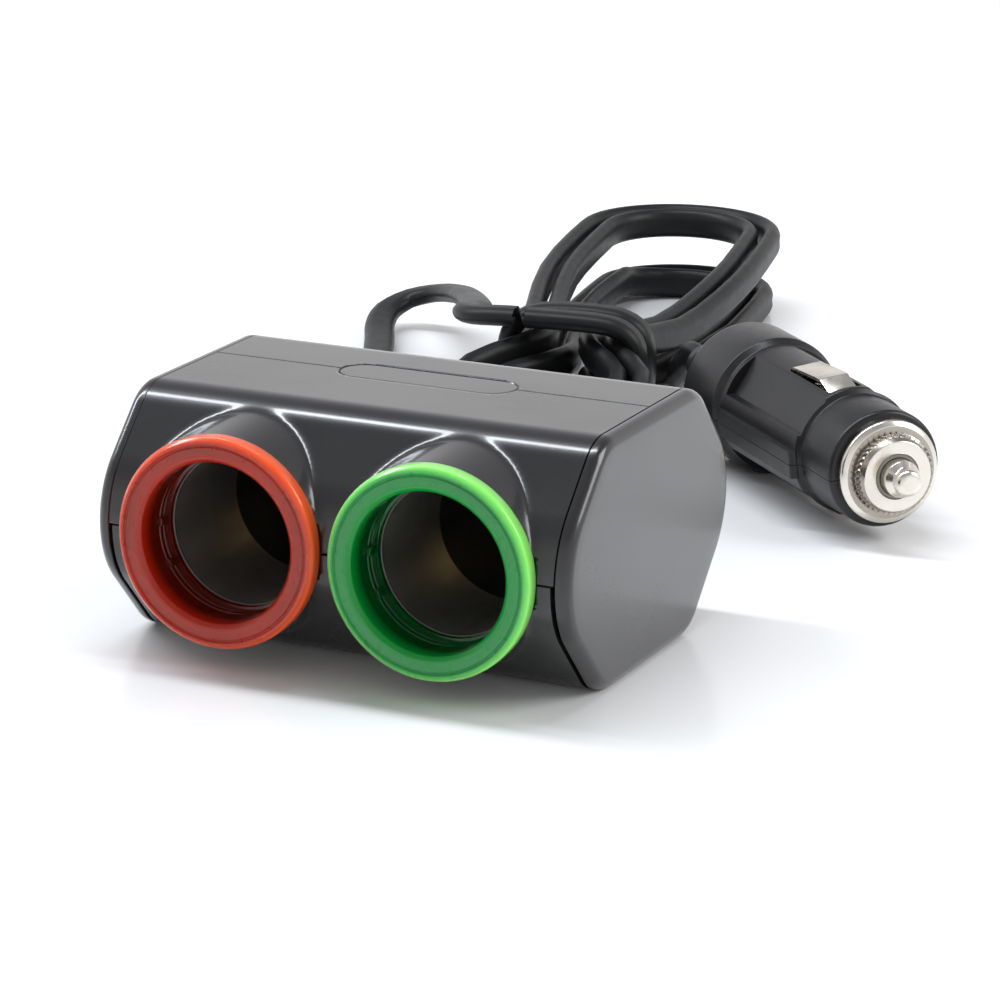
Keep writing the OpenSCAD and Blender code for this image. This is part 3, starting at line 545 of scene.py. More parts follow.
def between(t, a, ta, b, tb):
    """A point on the smooth curve that leaves a along ta and reaches b along tb."""
    return ((2 * t ** 3 - 3 * t ** 2 + 1) * a + (t ** 3 - 2 * t ** 2 + t) * ta
            + (3 * t ** 2 - 2 * t ** 3) * b + (t ** 3 - t ** 2) * tb)


def cord_route():
    """The cord's points in millimetres and the direction of its wide side at each, as the CAD has them."""
    loops = [LOOP_START]
    loops += [s for s in ((math.floor(4 * LOOP_START) + i / BACK_STEPS) / 4 for i in range(BACK_STEPS))
              if s > LOOP_START + 0.02]
    for k in range(math.ceil(4 * LOOP_START), math.floor(4 * LOOP_END) + 1):
        steps = BACK_STEPS if k % 4 < 2 else FRONT_STEPS
        loops += [s for s in ((k + i / steps) / 4 for i in range(steps)) if LOOP_START < s < LOOP_END]
    loop_points = [loop_at(s) for s in loops]
    tie = [np.array([TIE_MID - CORD_W, TIE_START, TIE_Z + TIE_HALF_H])]
    tie += [tie_at(TIE_TURN * i / TIE_STEPS) for i in range(TIE_STEPS + 1)]
    a, b = tie_at(TIE_TURN), loop_points[0]
    ta = unit(tie_at(TIE_TURN) - tie_at(TIE_TURN - 12)) * 14
    tb = unit(loop_at(LOOP_START + 0.01) - b) * 18
    join = [between(t, a, ta, b, tb) for t in JOIN_STEPS]
    end = loop_points[-1] + CORD_W * unit(loop_at(LOOP_END) - loop_at(LOOP_END - 0.01))
    hank = [from_hank(p) for p in tie + join + loop_points + [end]]
    hank_wide = [HANK_ALONG] * len(tie) + [unit((1 - t) * HANK_ALONG + t * UP) for t in JOIN_STEPS]
    hank_wide += [UP] * (len(loop_points) + 1)
    lead = [(0, RELIEF_END, AXIS_H), (0, 49.5, 18.5), (-1.5, 55.5, 17), (-6.5, 61.5, 13), (-14, 66, 8.4),
            (-23, 70.5, 4.6), (-33, 77, 2.4), (-43, 86.5, 1.9), (-52, 98, 1.9), (-60, 111, 1.9),
            (-67, 126, 1.9), (-72.5, 139, 1.9), (-77, 149, 2.1), (-80.5, 156.5, 2.8), (-82, 163, 3.8),
            (-80, 168, 5.2), (-74.5, 168, 6.8), (-68, 162, 8.6), (-61.5, 152, 10.8), (-54, 138.5, 13.4),
            (-47.5, 125.5, 15.8), (-45, 116.5, 17.4), (-41.5, 112, 18.2)]
    lead = [np.array(p, dtype=float) for p in lead] + [2 * hank[0] - hank[1]]
    on = lead + [hank[0]]
    lead_wide = [unit(np.cross(on[i + 1] - on[max(i - 1, 0)], UP)) for i in range(len(lead))]
    axis = np.array([math.cos(PLUG_HEADING), -math.sin(PLUG_HEADING), 0])
    boot_end = np.array(PLUG_SHOULDER) - BOOT_L * axis
    tail = [2 * hank[-1] - hank[-2]]
    tail += [np.array(p, dtype=float) for p in ((-17.5, 143, 4), (-15, 137, 6.2), (-11.8, 132, 8.8))]
    tail += [boot_end - CORD_W * axis, boot_end]
    return lead + hank + tail, lead_wide + hank_wide + [UP] * len(tail)


def smooth_route(points, wide, parts):
    """More points on a smooth curve through the route, and the wide side turned along with it."""
    out, turned = [], []
    n = len(points)
    for i in range(n - 1):
        p0, p1, p2, p3 = points[max(i - 1, 0)], points[i], points[i + 1], points[min(i + 2, n - 1)]
        d1 = np.linalg.norm(p2 - p1)
        m1 = (p2 - p0) * d1 / (d1 + np.linalg.norm(p1 - p0)) if i else p2 - p1
        m2 = (p3 - p1) * d1 / (d1 + np.linalg.norm(p3 - p2)) if i < n - 2 else p2 - p1
        for j in range(parts):
            t = j / parts
            out.append(between(t, p1, m1, p2, m2))
            turned.append(unit((1 - t) * wide[i] + t * wide[i + 1]))
    return out + [points[-1]], turned + [wide[-1]]


def flat_cord_rings(points, wide, sides):
    """Rings of a two-core cord: two rounds side by side with a shallow groove between them."""
    rings = []
    for i, p in enumerate(points):
        t = unit(points[min(i + 1, len(points) - 1)] - points[max(i - 1, 0)])
        w = unit(wide[i] - wide[i].dot(t) * t)
        n = np.cross(t, w)
        ring = []
        for k in range(sides):
            a = 2 * math.pi * k / sides
            groove = 1 - 0.14 * math.exp(-(math.cos(a) / 0.22) ** 2)
            across = CORD_W / 2 * signed_pow(math.cos(a), 0.9) * w
            ring.append(p + across + CORD_T / 2 * groove * math.sin(a) * n)
        rings.append(ring)
    return rings


def make_cord():
    points, wide = smooth_route(*cord_route(), 3)
    mesh_points, faces = skin_rings(flat_cord_rings(points, wide, 20))
    cord = mesh_piece("cord", mesh_points, faces, sharp=60)
    return cord, [tuple(p * MM) for p in points]


# Turned and cut pieces
TOP_RUN = (math.sin(math.pi / 4) * (HOUSING_H - EDGE_R - AXIS_H) - BULGE_R + EDGE_R) / math.cos(math.pi / 4)
BASE_RUN = (math.sin(math.pi / 4) * (AXIS_H - EDGE_R) - BULGE_R + EDGE_R) / math.cos(math.pi / 4)
BULGE_FRONT = BODY_FRONT + BULGE_R
BULGE_BACK = BODY_BACK - BULGE_R
# Circles that bound the housing's section: y, z, radius and the angles between which each is the outline
SECTION = ((BULGE_BACK, AXIS_H, BULGE_R, -45, 45),
           (BULGE_BACK - TOP_RUN, HOUSING_H - EDGE_R, EDGE_R, 45, 90),
           (BULGE_FRONT + TOP_RUN, HOUSING_H - EDGE_R, EDGE_R, 90, 135),
           (BULGE_FRONT, AXIS_H, BULGE_R, 135, 225),
           (BULGE_FRONT + BASE_RUN, EDGE_R, EDGE_R, 225, 270),
           (BULGE_BACK - BASE_RUN, EDGE_R, EDGE_R, 270, 315))


def backwards_at(x):
    """A frame at the height of the sockets' axes whose X axis points to the back."""
    return Matrix(((0, 0, 1, x), (1, 0, 0, 0), (0, 1, 0, AXIS_H), (0, 0, 0, 1)))


def turned_up(frame_of, place, side=1):
    """A frame at a place in another, its X axis along the other's Z axis, or against it for side -1."""
    return frame_of @ Matrix.Translation(place) @ Matrix.Rotation(-side * math.pi / 2, 4, "Y")


# Frames whose X axis is a piece's own axis
SOCKET_AXES = [backwards_at(x) for x in SOCKETS]
RELIEF_AXIS = backwards_at(0)
PLUG_AXIS = (Matrix.Translation(PLUG_SHOULDER) @ Matrix.Rotation(-PLUG_HEADING, 4, "Z")
             @ Matrix.Rotation(PLUG_ROLL, 4, "X"))


def placed(points, frame_of):
    """Points of a frame in the part's own frame."""
    turn = np.array(frame_of)
    return np.asarray(points, dtype=float) @ turn[:3, :3].T + turn[:3, 3]


def eased_corners(corners, steps=5):
    """A closed outline from (x, y, radius) corners, each rounded as far as its sides allow."""
    out = []
    count = len(corners)
    for i, (x, y, r) in enumerate(corners):
        here = np.array((x, y), dtype=float)
        before = np.array(corners[i - 1][:2], dtype=float) - here
        after = np.array(corners[(i + 1) % count][:2], dtype=float) - here
        lb, la = np.linalg.norm(before), np.linalg.norm(after)
        cosine = float(np.clip(before @ after / (lb * la), -1, 1))
        half = math.acos(cosine) / 2
        if r <= 0 or half > math.pi / 2 - 0.02:
            out.append(here)
            continue
        run = min(r / math.tan(half), 0.48 * lb, 0.48 * la)
        r = run * math.tan(half)
        middle = here + unit(before / lb + after / la) * r / math.sin(half)
        a = here + before / lb * run - middle
        b = here + after / la * run - middle
        for k in range(steps + 1):
            t = k / steps
            angle = math.pi - 2 * half
            out.append(middle + (math.sin((1 - t) * angle) * a + math.sin(t * angle) * b) / math.sin(angle))
    return out


def turned_piece(name, frame_of, corners, sides=128, sharp=40, steps=5):
    """A body of revolution about the frame's X axis from (along, radius, rounding) corners."""
    outline = eased_corners(corners, steps)
    angles = np.linspace(0, 2 * math.pi, sides, endpoint=False)
    rings = [[(p[0], p[1] * math.cos(a), p[1] * math.sin(a)) for a in angles] for p in outline]
    points, faces = skin_rings(rings, closed=True)
    return mesh_piece(name, placed(points, frame_of), faces, sharp)


def drawn_piece(name, frame_of, outline, low, high, axis="y", sharp=35):
    """A prism of an outline in the frame's XZ, XY or YZ plane, between two heights along the third axis."""
    order = {"y": (0, 2, 1), "z": (0, 1, 2), "x": (1, 2, 0)}[axis]
    rings = []
    for height in (low, high):
        ring = np.zeros((len(outline), 3))
        ring[:, order[0]] = [p[0] for p in outline]
        ring[:, order[1]] = [p[1] for p in outline]
        ring[:, order[2]] = height
        rings.append([tuple(p) for p in ring])
    points, faces = skin_rings(rings)
    return mesh_piece(name, placed(points, frame_of), faces, sharp)


def block_piece(x, y, z, frame_of=Matrix(), rounding=0.0):
    """A block between three pairs of limits, with its edges along Z rounded."""
    outline = eased_corners([(x[0], y[0], rounding), (x[1], y[0], rounding), (x[1], y[1], rounding),
                             (x[0], y[1], rounding)])
    return drawn_piece("block", frame_of, outline, z[0], z[1], "z")


def rod_piece(frame_of, radius, low, high, sides=96):
    corners = [(low, 0, 0), (low, radius, 0), (high, radius, 0), (high, 0, 0)]
    return turned_piece("rod", frame_of, corners, sides)


def cut(piece, tools, kind="DIFFERENCE", sharp=35):
    """Takes each tool from the piece, or keeps or adds it, and does away with the tool."""
    for tool in tools:
        change = piece.modifiers.new("cut", "BOOLEAN")
        change.operation = kind
        change.object = tool
        change.solver = "MANIFOLD"
        made = worked(piece)
        piece.modifiers.clear()
        old = piece.data
        piece.data = made
        bpy.data.meshes.remove(old)
        bpy.data.objects.remove(tool)
    shade(piece.data, sharp)
    return piece


def drop_slivers(piece, sharp):
    """Closes up the faces without area that cutting leaves where edges cross."""
    edit = bmesh.new()
    edit.from_mesh(piece.data)
    bmesh.ops.triangulate(edit, faces=edit.faces)
    bmesh.ops.dissolve_degenerate(edit, dist=1e-7, edges=edit.edges)
    edit.to_mesh(piece.data)
    edit.free()
    shade(piece.data, sharp)
    return piece


def join(name, pieces, sharp=35):
    """One piece from several bodies."""
    whole = bmesh.new()
    for piece in pieces:
        whole.from_mesh(piece.data)
        bpy.data.objects.remove(piece)
    mesh = bpy.data.meshes.new(name)
    whole.to_mesh(mesh)
    whole.free()
    shade(mesh, sharp)
    return link(name, mesh)


SHOWN = {}


def stands_for(piece, body, slot, *nodes):
    """Puts a piece with its finish on its body, in place of its CAD nodes, and notes it in SHOWN."""
    dress(piece, slot)
    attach(piece, body)
    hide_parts(*nodes)
    SHOWN.setdefault(nodes[0], []).append(piece)


# Housing
def section_outline(inset):
    """The housing's outline in section, moved in by an inset."""
    steps = 24
    points = []
    for y, z, r, a0, a1 in SECTION:
        for i in range(steps + 1):
            a = math.radians(a0 + (a1 - a0) * i / steps)
            points.append((y + (r - inset) * math.cos(a), z + (r - inset) * math.sin(a)))
    return points


def section_gap(y, z):
    """Distance from the housing's outline in section, less than zero inside."""
    gap = None
    for cy, cz, r, a0, a1 in SECTION:
        middle = math.radians((a0 + a1) / 2)
        off = np.arctan2(z - cz, y - cy) - middle
        off = (off + math.pi) % (2 * math.pi) - math.pi
        a = middle + np.clip(off, math.radians((a0 - a1) / 2), math.radians((a1 - a0) / 2))
        here = (y - cy) * np.cos(a) + (z - cz) * np.sin(a) - r
        gap = here if gap is None else np.maximum(gap, here)
    return gap


def skin_gap(p):
    """Distance from the outside of the housing: the barrel with its two bosses run into it by a fillet."""
    x, y, z = p
    front, back = BOSS_SPAN
    body = section_gap(y, z)
    for sx in SOCKETS:
        reach = np.hypot(x - sx, z - AXIS_H) - BOSS_R - (y - BOSS_MOUTH) * BOSS_TAPER
        boss = np.maximum(reach * math.cos(math.atan(BOSS_TAPER)), np.maximum(y - back, front - y))
        blend = np.maximum(BOSS_FILLET - np.abs(body - boss), 0) / BOSS_FILLET
        body = np.minimum(body, boss) - blend * blend * BOSS_FILLET / 4
    return np.maximum(body, np.abs(x) - SKIN_HALF_W)


def wrapped(field, corner, step):
    """Points and four-sided faces of the surface where a field on a grid passes through zero."""
    cells = np.array(field.shape) - 1
    total = np.zeros((*cells, 3))
    count = np.zeros(cells)
    sides = []
    for axis in range(3):
        for u in (0, 1):
            for v in (0, 1):
                offset = [u, v]
                offset.insert(axis, 0)
                low = tuple(slice(o, o + n) for o, n in zip(offset, cells))
                offset[axis] = 1
                high = tuple(slice(o, o + n) for o, n in zip(offset, cells))
                a, b = field[low], field[high]
                crossed = (a < 0) != (b < 0)
                share = np.where(crossed, a / np.where(crossed, a - b, 1), 0)
                for k in range(3):
                    total[..., k] += np.where(crossed, share if k == axis else offset[k], 0)
                count += crossed
    used = count > 0
    number = np.full(cells, -1)
    number[used] = np.arange(used.sum())
    where = np.argwhere(used) + total[used] / count[used][:, None]
    points = np.array(corner) + where * step
    faces = []
    for axis in range(3):
        p, q = [k for k in range(3) if k != axis]
        inner = [slice(1, -1)] * 3
        inner[axis] = slice(0, -1)
        ahead = list(inner)
        ahead[axis] = slice(1, None)
        a, b = field[tuple(inner)], field[tuple(ahead)]
        at = np.argwhere((a < 0) != (b < 0))
        inside = (a < 0)[tuple(at.T)]
        for k in (p, q):
            at[:, k] += 1
        ring = []
        for dp, dq in ((-1, -1), (0, -1), (0, 0), (-1, 0)):
            cell = at.copy()
            cell[:, p] += dp
            cell[:, q] += dq
            ring.append(number[tuple(cell.T)])
        quads = np.stack(ring, axis=1)
        if axis == 1:
            inside = ~inside
        quads[~inside] = quads[~inside][:, ::-1]
        faces.append(quads)
    return points, np.concatenate(faces)


def housing_skin():
    """The outside of the housing and its bosses, from a grid, with its points moved onto the surface."""
    step = 0.6
    grid = [np.arange(a, b, step) for a, b in ((-35.7, 35.8), (-32.4, 32.1), (-1.2, 37.5))]
    field = skin_gap(np.meshgrid(*grid, indexing="ij"))
    points, faces = wrapped(field, [g[0] for g in grid], step)
    p = points.T.copy()
    for _ in range(4):
        gap = skin_gap(p)
        slope = np.array([skin_gap(p + 0.01 * np.eye(3)[k][:, None]) - gap for k in range(3)]) / 0.01
        p -= gap * slope / np.maximum((slope ** 2).sum(axis=0), 0.2)
    return mesh_piece("skin", p.T, [tuple(int(i) for i in f) for f in faces], sharp=30)


def inlay_outline(grow):
    """The oval of the inlay on the top, made larger all round."""
    r = INLAY_W / 2 + grow
    half = (INLAY_L - INLAY_W) / 2
    points = []
    for side in (1, -1):
        for i in range(33):
            a = math.radians(-90 + 180 * i / 32)
            points.append((side * (half + r * math.cos(a)), SEAM_Y + side * r * math.sin(a)))
    return points


def inner_room():
    """What is hollow inside the shells, as tools to cut with."""
    tools = [drawn_piece("room", Matrix(), section_outline(WALL), -40, 40, "x")]
    for axis in SOCKET_AXES:
        tools.append(rod_piece(axis, SLEEVE_R + FIT, BOSS_MOUTH - 3, BOSS_MOUTH + 21))
        tools.append(rod_piece(axis, RING_R + RING_FIT, BOSS_MOUTH - 6, BOSS_MOUTH, 192))
    return tools


def fittings(node):
    """The ribs, posts and feet inside a shell, from the CAD mesh."""
    copy = bpy.data.meshes.new_from_object(frame["nodes"][node])
    tidy(copy)
    piece = link("fittings", copy)
    room = drawn_piece("room", Matrix(), section_outline(WALL - 0.3), -33.3, 33.3, "x")
    return cut(piece, [room], "INTERSECT")


def seam_cut(y, z, wide_y=SEAM_W, wide_z=SEAM_DEPTH):
    """A fine groove along the housing where two shells meet."""
    return block_piece((-36, 36), (y - wide_y / 2, y + wide_y / 2), (z - wide_z / 2, z + wide_z / 2))


def front_seam():
    """The groove between the upper and the lower shell."""
    return seam_cut(BODY_FRONT, AXIS_H, SEAM_DEPTH, SEAM_W)


def make_shell(name, x, y, z, tools):
    """A shell: the skin between its limits, hollow, less what its tools take, and its fittings."""
    shell = link("shell", SKIN.data.copy())
    cut(shell, [block_piece((-x, x), y, z)], "INTERSECT")
    cut(shell, inner_room() + tools)
    return join(name, [shell, fittings(name)])


def inlay_pocket():
    return drawn_piece("pocket", Matrix(), inlay_outline(0.2), HOUSING_H - 1.2, HOUSING_H + 2, "z")


def screw_way(y):
    """The hole for a screw's shank and the wider one for its head, from below."""
    upright = turned_up(Matrix(), (0, y, 0))
    return [rod_piece(upright, 1.35, -1, 8, 48), rod_piece(upright, 2.75, -1, 2.1, 48)]


IN_FRONT = (-34, SEAM_Y - SEAM_GAP / 2)
BEHIND = (SEAM_Y + SEAM_GAP / 2, 36)
ABOVE = (AXIS_H + SEAM_GAP / 2, 40)
BELOW = (-3, AXIS_H - SEAM_GAP / 2)
SKIN = housing_skin()
upper = make_shell("upper_shell", HALF_W - SEAM_GAP, IN_FRONT, ABOVE,
                   [inlay_pocket(), seam_cut(SEAM_Y, HOUSING_H), front_seam()])
stands_for(upper, "housing", "gloss_black", "upper_shell")
lower = make_shell("lower_shell", HALF_W - CAP_GAP, IN_FRONT, BELOW,
                   screw_way(SCREW_YS[0]) + [front_seam(), seam_cut(SEAM_Y, 0)])
stands_for(lower, "housing", "gloss_black", "lower_shell")
relief_way = rod_piece(RELIEF_AXIS, 3.6, 24, 36, 64)
rear = make_shell("rear_shell", HALF_W - SEAM_GAP, BEHIND, (BELOW[0], ABOVE[1]),
                  screw_way(SCREW_YS[1]) + [inlay_pocket(), seam_cut(SEAM_Y, HOUSING_H),
                                            seam_cut(SEAM_Y, 0), relief_way])
stands_for(rear, "housing", "gloss_black", "rear_shell")
bpy.data.objects.remove(SKIN)


# End caps and inlay
def end_cap(name, side):
    """A bevelled end plate with a rounded rim, and the lip that plugs it into the shells."""
    profile = [(HALF_W, 0.12), (HALF_W + 0.12, 0.0)]
    for degrees in range(0, 91, 9):
        a = math.radians(degrees)
        profile.append((HALF_W + CAP_T - CAP_ROUND * (1 - math.sin(a)), CAP_ROUND * (1 - math.cos(a))))
    profile += [(HALF_W + CAP_T, CAP_ROUND + 2), (HALF_W + CAP_T, CAP_ROUND + 6)]
    points, faces = skin_rings([[(side * x, *p) for p in section_outline(inset)] for x, inset in profile])
    plate = mesh_piece("plate", points, faces, sharp=40)
    outer, inner = section_outline(WALL + 0.15), section_outline(WALL + 1.55)
    low, high = sorted((side * (HALF_W - 3), side * (HALF_W + 0.4)))
    lip = drawn_piece("lip", Matrix(), outer, low, high, "x")
    cut(lip, [drawn_piece("hollow", Matrix(), inner, low - 1, high + 1, "x")])
    return join(name, [plate, lip], sharp=40)


for name, side in (("end_cap_left", -1), ("end_cap_right", 1)):
    stands_for(end_cap(name, side), "housing", "gloss_black", name)


def top_inlay():
    """The oval plate in the top, with its edge eased, a little lower than the top."""
    profile = ((1.1, 0.2), (1.0, 0.1), (0.2, 0.1), (0.1, 0.12), (0.04, 0.19), (0.03, 0.3), (0.03, 0.7))
    rings = [[(*p, HOUSING_H - drop) for p in inlay_outline(-inset)] for drop, inset in profile]
    points, faces = skin_rings(rings)
    return mesh_piece("top_inlay", points, faces, sharp=40)


stands_for(top_inlay(), "housing", "satin_black", "top_inlay")


# Sockets
def tinted_ring(name, axis):
    """A clear ring: outer bead, groove, flat face, throat with two ridges and nubs, lip, long sleeve."""
    ring = turned_piece(name, axis, [
        (-27.5, 14.85, 0.12), (-28.0, RING_R, 0.3), (-29.75, RING_R, 0.62), (RING_FRONT, 14.4, 0.4),
        (RING_FRONT, 14.02, 0.3), (-30.16, 13.85, 0.1), (-30.16, 13.68, 0.1), (-30.36, 13.5, 0.12),
        (-30.36, 12.0, 0.5), (-29.8, THROAT_R, 0.5), (-24.85, THROAT_R, 0.1), (-24.65, 11.18, 0.1),
        (-24.45, THROAT_R, 0.1), (-23.75, THROAT_R, 0.1), (-23.55, 11.18, 0.1), (-23.35, THROAT_R, 0.1),
        (-22.5, THROAT_R, 0.05), (-22.45, 10.95, 0.04), (-21.7, 10.9, 0.04), (-21.7, 11.3, 0.05),
        (-13.05, 11.3, 0.2), (-13.05, 12.5, 0.3), (-27.2, 12.5, 0.2),
        (-27.35, 13.1, 0.2)], sides=192, sharp=32, steps=6)
    nubs = []
    for angle in (178, 209):
        a = math.radians(angle)
        side, up = math.cos(a), math.sin(a)
        turn = axis @ Matrix(((1, 0, 0, -24.1), (0, up, -side, up * NUB_R), (0, side, up, side * NUB_R),
                              (0, 0, 0, 1)))
        nubs.append(block_piece((-1.1, 1.1), (-0.6, 0.6), (-0.55, 0.55), turn, 0.12))
    return join(name, [ring] + nubs, sharp=32)


for colour, axis in zip(("red", "green"), SOCKET_AXES):
    name = "socket_ring_" + colour
    stands_for(tinted_ring(name, axis), "housing", "tint_" + colour, name)


def socket_tube(name, axis):
    """A plated sheet tube with its mouth eased and its far end trimmed square."""
    return turned_piece(name, axis, [(TUBE_Y, BORE_R + 0.06, 0.2), (TUBE_Y, TUBE_R, 0.2),
                                     (TUBE_END, TUBE_R, 0.05), (TUBE_END, BORE_R, 0.1)], sides=160, sharp=35)


def socket_base(name, axis):
    """The black cup behind a tube: a collar round the tube's end, a deep well and a tapered floor."""
    return turned_piece(name, axis, [
        (-10.0, 11.35, 0.2), (-10.0, SLEEVE_R, 0.3), (18.0, SLEEVE_R, 0.4), (21.5, 9.05, 0.3),
        (21.5, 1.6, 0.1), (18.5, 1.6, 0.1), (18.5, 11.0, 0.8), (-2.9, 11.0, 0.1),
        (-2.9, 11.3, 0.1)], sides=128, sharp=35)


def centre_contact(name, axis):
    """A dished brass button riveted through the cup's floor."""
    return turned_piece(name, axis, [
        (17.0, 0.0, 0), (17.05, 2.2, 1.5), (17.3, 3.8, 0.3), (17.9, 4.9, 0.2), (18.5, 4.9, 0.1),
        (18.5, 1.5, 0.1), (22.1, 1.5, 0.05), (22.1, 2.6, 0.15), (22.5, 2.4, 0.25), (22.8, 1.2, 0.4),
        (22.8, 0.0, 0)], sides=96, sharp=40)


IN_A_SOCKET = ((socket_tube, "socket_tube_", "plated_tube"), (socket_base, "socket_base_", "bakelite"),
               (centre_contact, "centre_contact_", "brass"))
for side, axis in zip(("left", "right"), SOCKET_AXES):
    for make, kind, slot in IN_A_SOCKET:
        stands_for(make(kind + side, axis), "housing", slot, kind + side)


# Repeated pieces
def laid_out(name, piece, look, kind, **sizes):
    """Copies of a small piece in a row, or in a ring round the X axis, by Geometry Nodes, as one mesh."""
    tree = bpy.data.node_groups.new("copies_" + kind, "GeometryNodeTree")
    tree.interface.new_socket("Geometry", in_out="INPUT", socket_type="NodeSocketGeometry")
    tree.interface.new_socket("Geometry", in_out="OUTPUT", socket_type="NodeSocketGeometry")
    ids = {}
    for size, value in sizes.items():
        sort = "NodeSocket" + {int: "Int", tuple: "Vector", float: "Float"}[type(value)]
        ids[size] = tree.interface.new_socket(size, in_out="INPUT", socket_type=sort).identifier
    b = Bench(tree)
    given = tree.nodes.new("NodeGroupInput")
    size_of = {socket.name: Wire(b, socket) for socket in given.outputs if socket.name}
    step = turn = (0.0, 0.0, 0.0)
    if kind == "row":
        step = size_of["Step"]
    else:
        angle = b.node("GeometryNodeInputIndex") * size_of["Pitch angle"]
        turn = b.node("ShaderNodeCombineXYZ", X=angle, Y=0.0, Z=0.0)
    spots = b.node("GeometryNodeMeshLine", {"mode": "OFFSET"}, Count=size_of["Count"], Offset=step)
    copies = b.node("GeometryNodeInstanceOnPoints", Points=spots, Instance=size_of["Geometry"],
                    Rotation=turn)
    solid = b.node("GeometryNodeRealizeInstances", Geometry=copies)
    finished = b.node("GeometryNodeSetMaterial", Geometry=solid, Material=look)
    out = tree.nodes.new("NodeGroupOutput")
    tree.links.new(finished.socket, out.inputs[0])
    change = piece.modifiers.new(kind, "NODES")
    change.node_group = tree
    for size, value in sizes.items():
        change[ids[size]] = value
    made = worked(piece)
    bpy.data.objects.remove(piece)
    return link(name, made)


def cross_recess(frame_of, depth, reach):
    """The tools that cut a cross recess in a screw's head."""
    return [block_piece((-0.02, depth), (-reach, reach), (-0.28, 0.28), frame_of),
            block_piece((-0.02, depth), (-0.28, 0.28), (-reach, reach), frame_of)]


def pan_screw(frame_of, length, head_radius):
    """A small pan-head screw, with its head at the frame's origin and its shank along the X axis."""
    pitch = 0.8
    thread = []
    for i in range(int((length - 2.2) / pitch)):
        thread += [(1.9 + i * pitch, 1.0, 0), (2.3 + i * pitch, 1.2, 0)]
    head = [(0.0, 0.0, 0), (0.0, head_radius * 0.6, 0.3), (0.5, head_radius, 0.35),
            (1.5, head_radius, 0.15), (1.5, 1.0, 0.1)]
    point = [(length - 0.7, 1.0, 0.1), (length, 0.2, 0), (length, 0.0, 0)]
    screw = turned_piece("screw", frame_of, head + thread + point, sides=40)
    cut(screw, cross_recess(frame_of @ Matrix.Translation((-0.1, 0, 0)), 1.0, head_radius * 0.55))
    return drop_slivers(screw, 35)


def housing_screws():
    """The two screws in the underside, one behind the other."""
    upright = turned_up(Matrix(), (0, SCREW_YS[0], 0.6))
    screw = pan_screw(upright, length=11.5, head_radius=2.55)
    return laid_out("housing_screws", screw, LOOKS["screw_steel"], "row", Count=2,
                    Step=(0.0, (SCREW_YS[1] - SCREW_YS[0]) * MM, 0.0))


screws = housing_screws()
shade(screws.data, 40)
stands_for(screws, "housing", "screw_steel", "housing_screws")


# Cord ends
def grooved_sleeve(name, frame_of, low, high, r_low, r_high, start, neck):
    """A tapered rubber sleeve with rounded grooves, and the neck that holds it in its wall."""
    def radius(at):
        return r_low + (r_high - r_low) * (at - low) / (high - low)

    half_w = 0.75
    half_floor = 0.45
    depth = 0.75
    corners = [(low, r_low, 0.3)]
    for i in range(GROOVES):
        at = start + (high - start) * (i + 1) / (GROOVES + 1)
        corners += [(at - half_w, radius(at - half_w), 0.3), (at - half_floor, radius(at) - depth, 0.25),
                    (at + half_floor, radius(at) - depth, 0.25), (at + half_w, radius(at + half_w), 0.3)]
    corners += [(high, r_high, 0.4), (high, 0.0, 0), (neck[0][0], 0.0, 0)] + neck
    return turned_piece(name, frame_of, corners, sides=72, sharp=50)


relief = grooved_sleeve("cord_relief", RELIEF_AXIS, low=30.55, high=RELIEF_END, r_low=5.0, r_high=3.2,
                        start=31.0, neck=[(25.7, 4.9, 0.3), (28.2, 4.9, 0.3), (28.2, 3.5, 0.2),
                                          (30.55, 3.5, 0.1)])
stands_for(relief, "housing", "cord_rubber", "cord_relief")


# Plug
def on_side(side, low, high):
    """Limits on the upper side of the plug, or mirrored for side -1."""
    return (low, high) if side > 0 else (-high, -low)


def mirrored(outline, x_way, y_way):
    return [(p[0] * x_way, p[1] * y_way) for p in outline]


def plug_rib(side):
    """The long land on each side of the body."""
    outline = eased_corners([(13.4, 9.6, 0.3), (14.6, 10.85, 0.5), (42.0, 10.85, 0.7), (42.9, 9.6, 0.3)])
    return drawn_piece("rib", PLUG_AXIS, mirrored(outline, 1, side), -2.2, 2.2, "z", sharp=35)


def plug_body():
    """Both halves of the plug in one: the grip, the body with its lands, the collar and the spigot."""
    body = turned_piece("body", PLUG_AXIS, [
        (0.0, 0.0, 0), (0.0, GRIP_R, 1.7), (12.9, GRIP_R, 0.5), (14.0, PLUG_R, 0.5),
        (42.3, PLUG_R - 0.1, 0.6), (43.0, 9.25, 0.4), (44.1, COLLAR_R, 0.2),
        (COLLAR_END, COLLAR_R, 0.8), (COLLAR_END, SPIGOT_R, 0.15),
        (SPIGOT_END, SPIGOT_R, 0.3), (SPIGOT_END, 0.0, 0)], sides=160, sharp=30)
    cut(body, [plug_rib(-1), plug_rib(1)], "UNION")
    tools = [rod_piece(PLUG_AXIS, 4.0, -1, 2.5, 64), rod_piece(PLUG_AXIS, 8.0, 1.8, 11.8, 64),
             rod_piece(PLUG_AXIS, 0.95, 10, 16, 32), rod_piece(PLUG_AXIS, 3.7, 14, 58, 64)]
    # What is cut off between a contact and a land, to leave a flat
    far = CLEAR_OF_PLUG
    wedge = [(3.3, 9.9), (8.0, 4.5), (far, 4.5), (far, far), (3.3, far)]
    for y_way in (-1, 1):
        for z_way in (-1, 1):
            outline = mirrored(wedge, y_way, z_way)
            tools.append(drawn_piece("flat", PLUG_AXIS, outline, 15.2, 42.6, "x", sharp=30))
    for side in (-1, 1):
        tools.append(block_piece(CONTACT_SLOT, (-2.8, 2.8), on_side(side, SLOT_FLOOR, far), PLUG_AXIS, 0.7))
    return cut(body, tools, sharp=30)


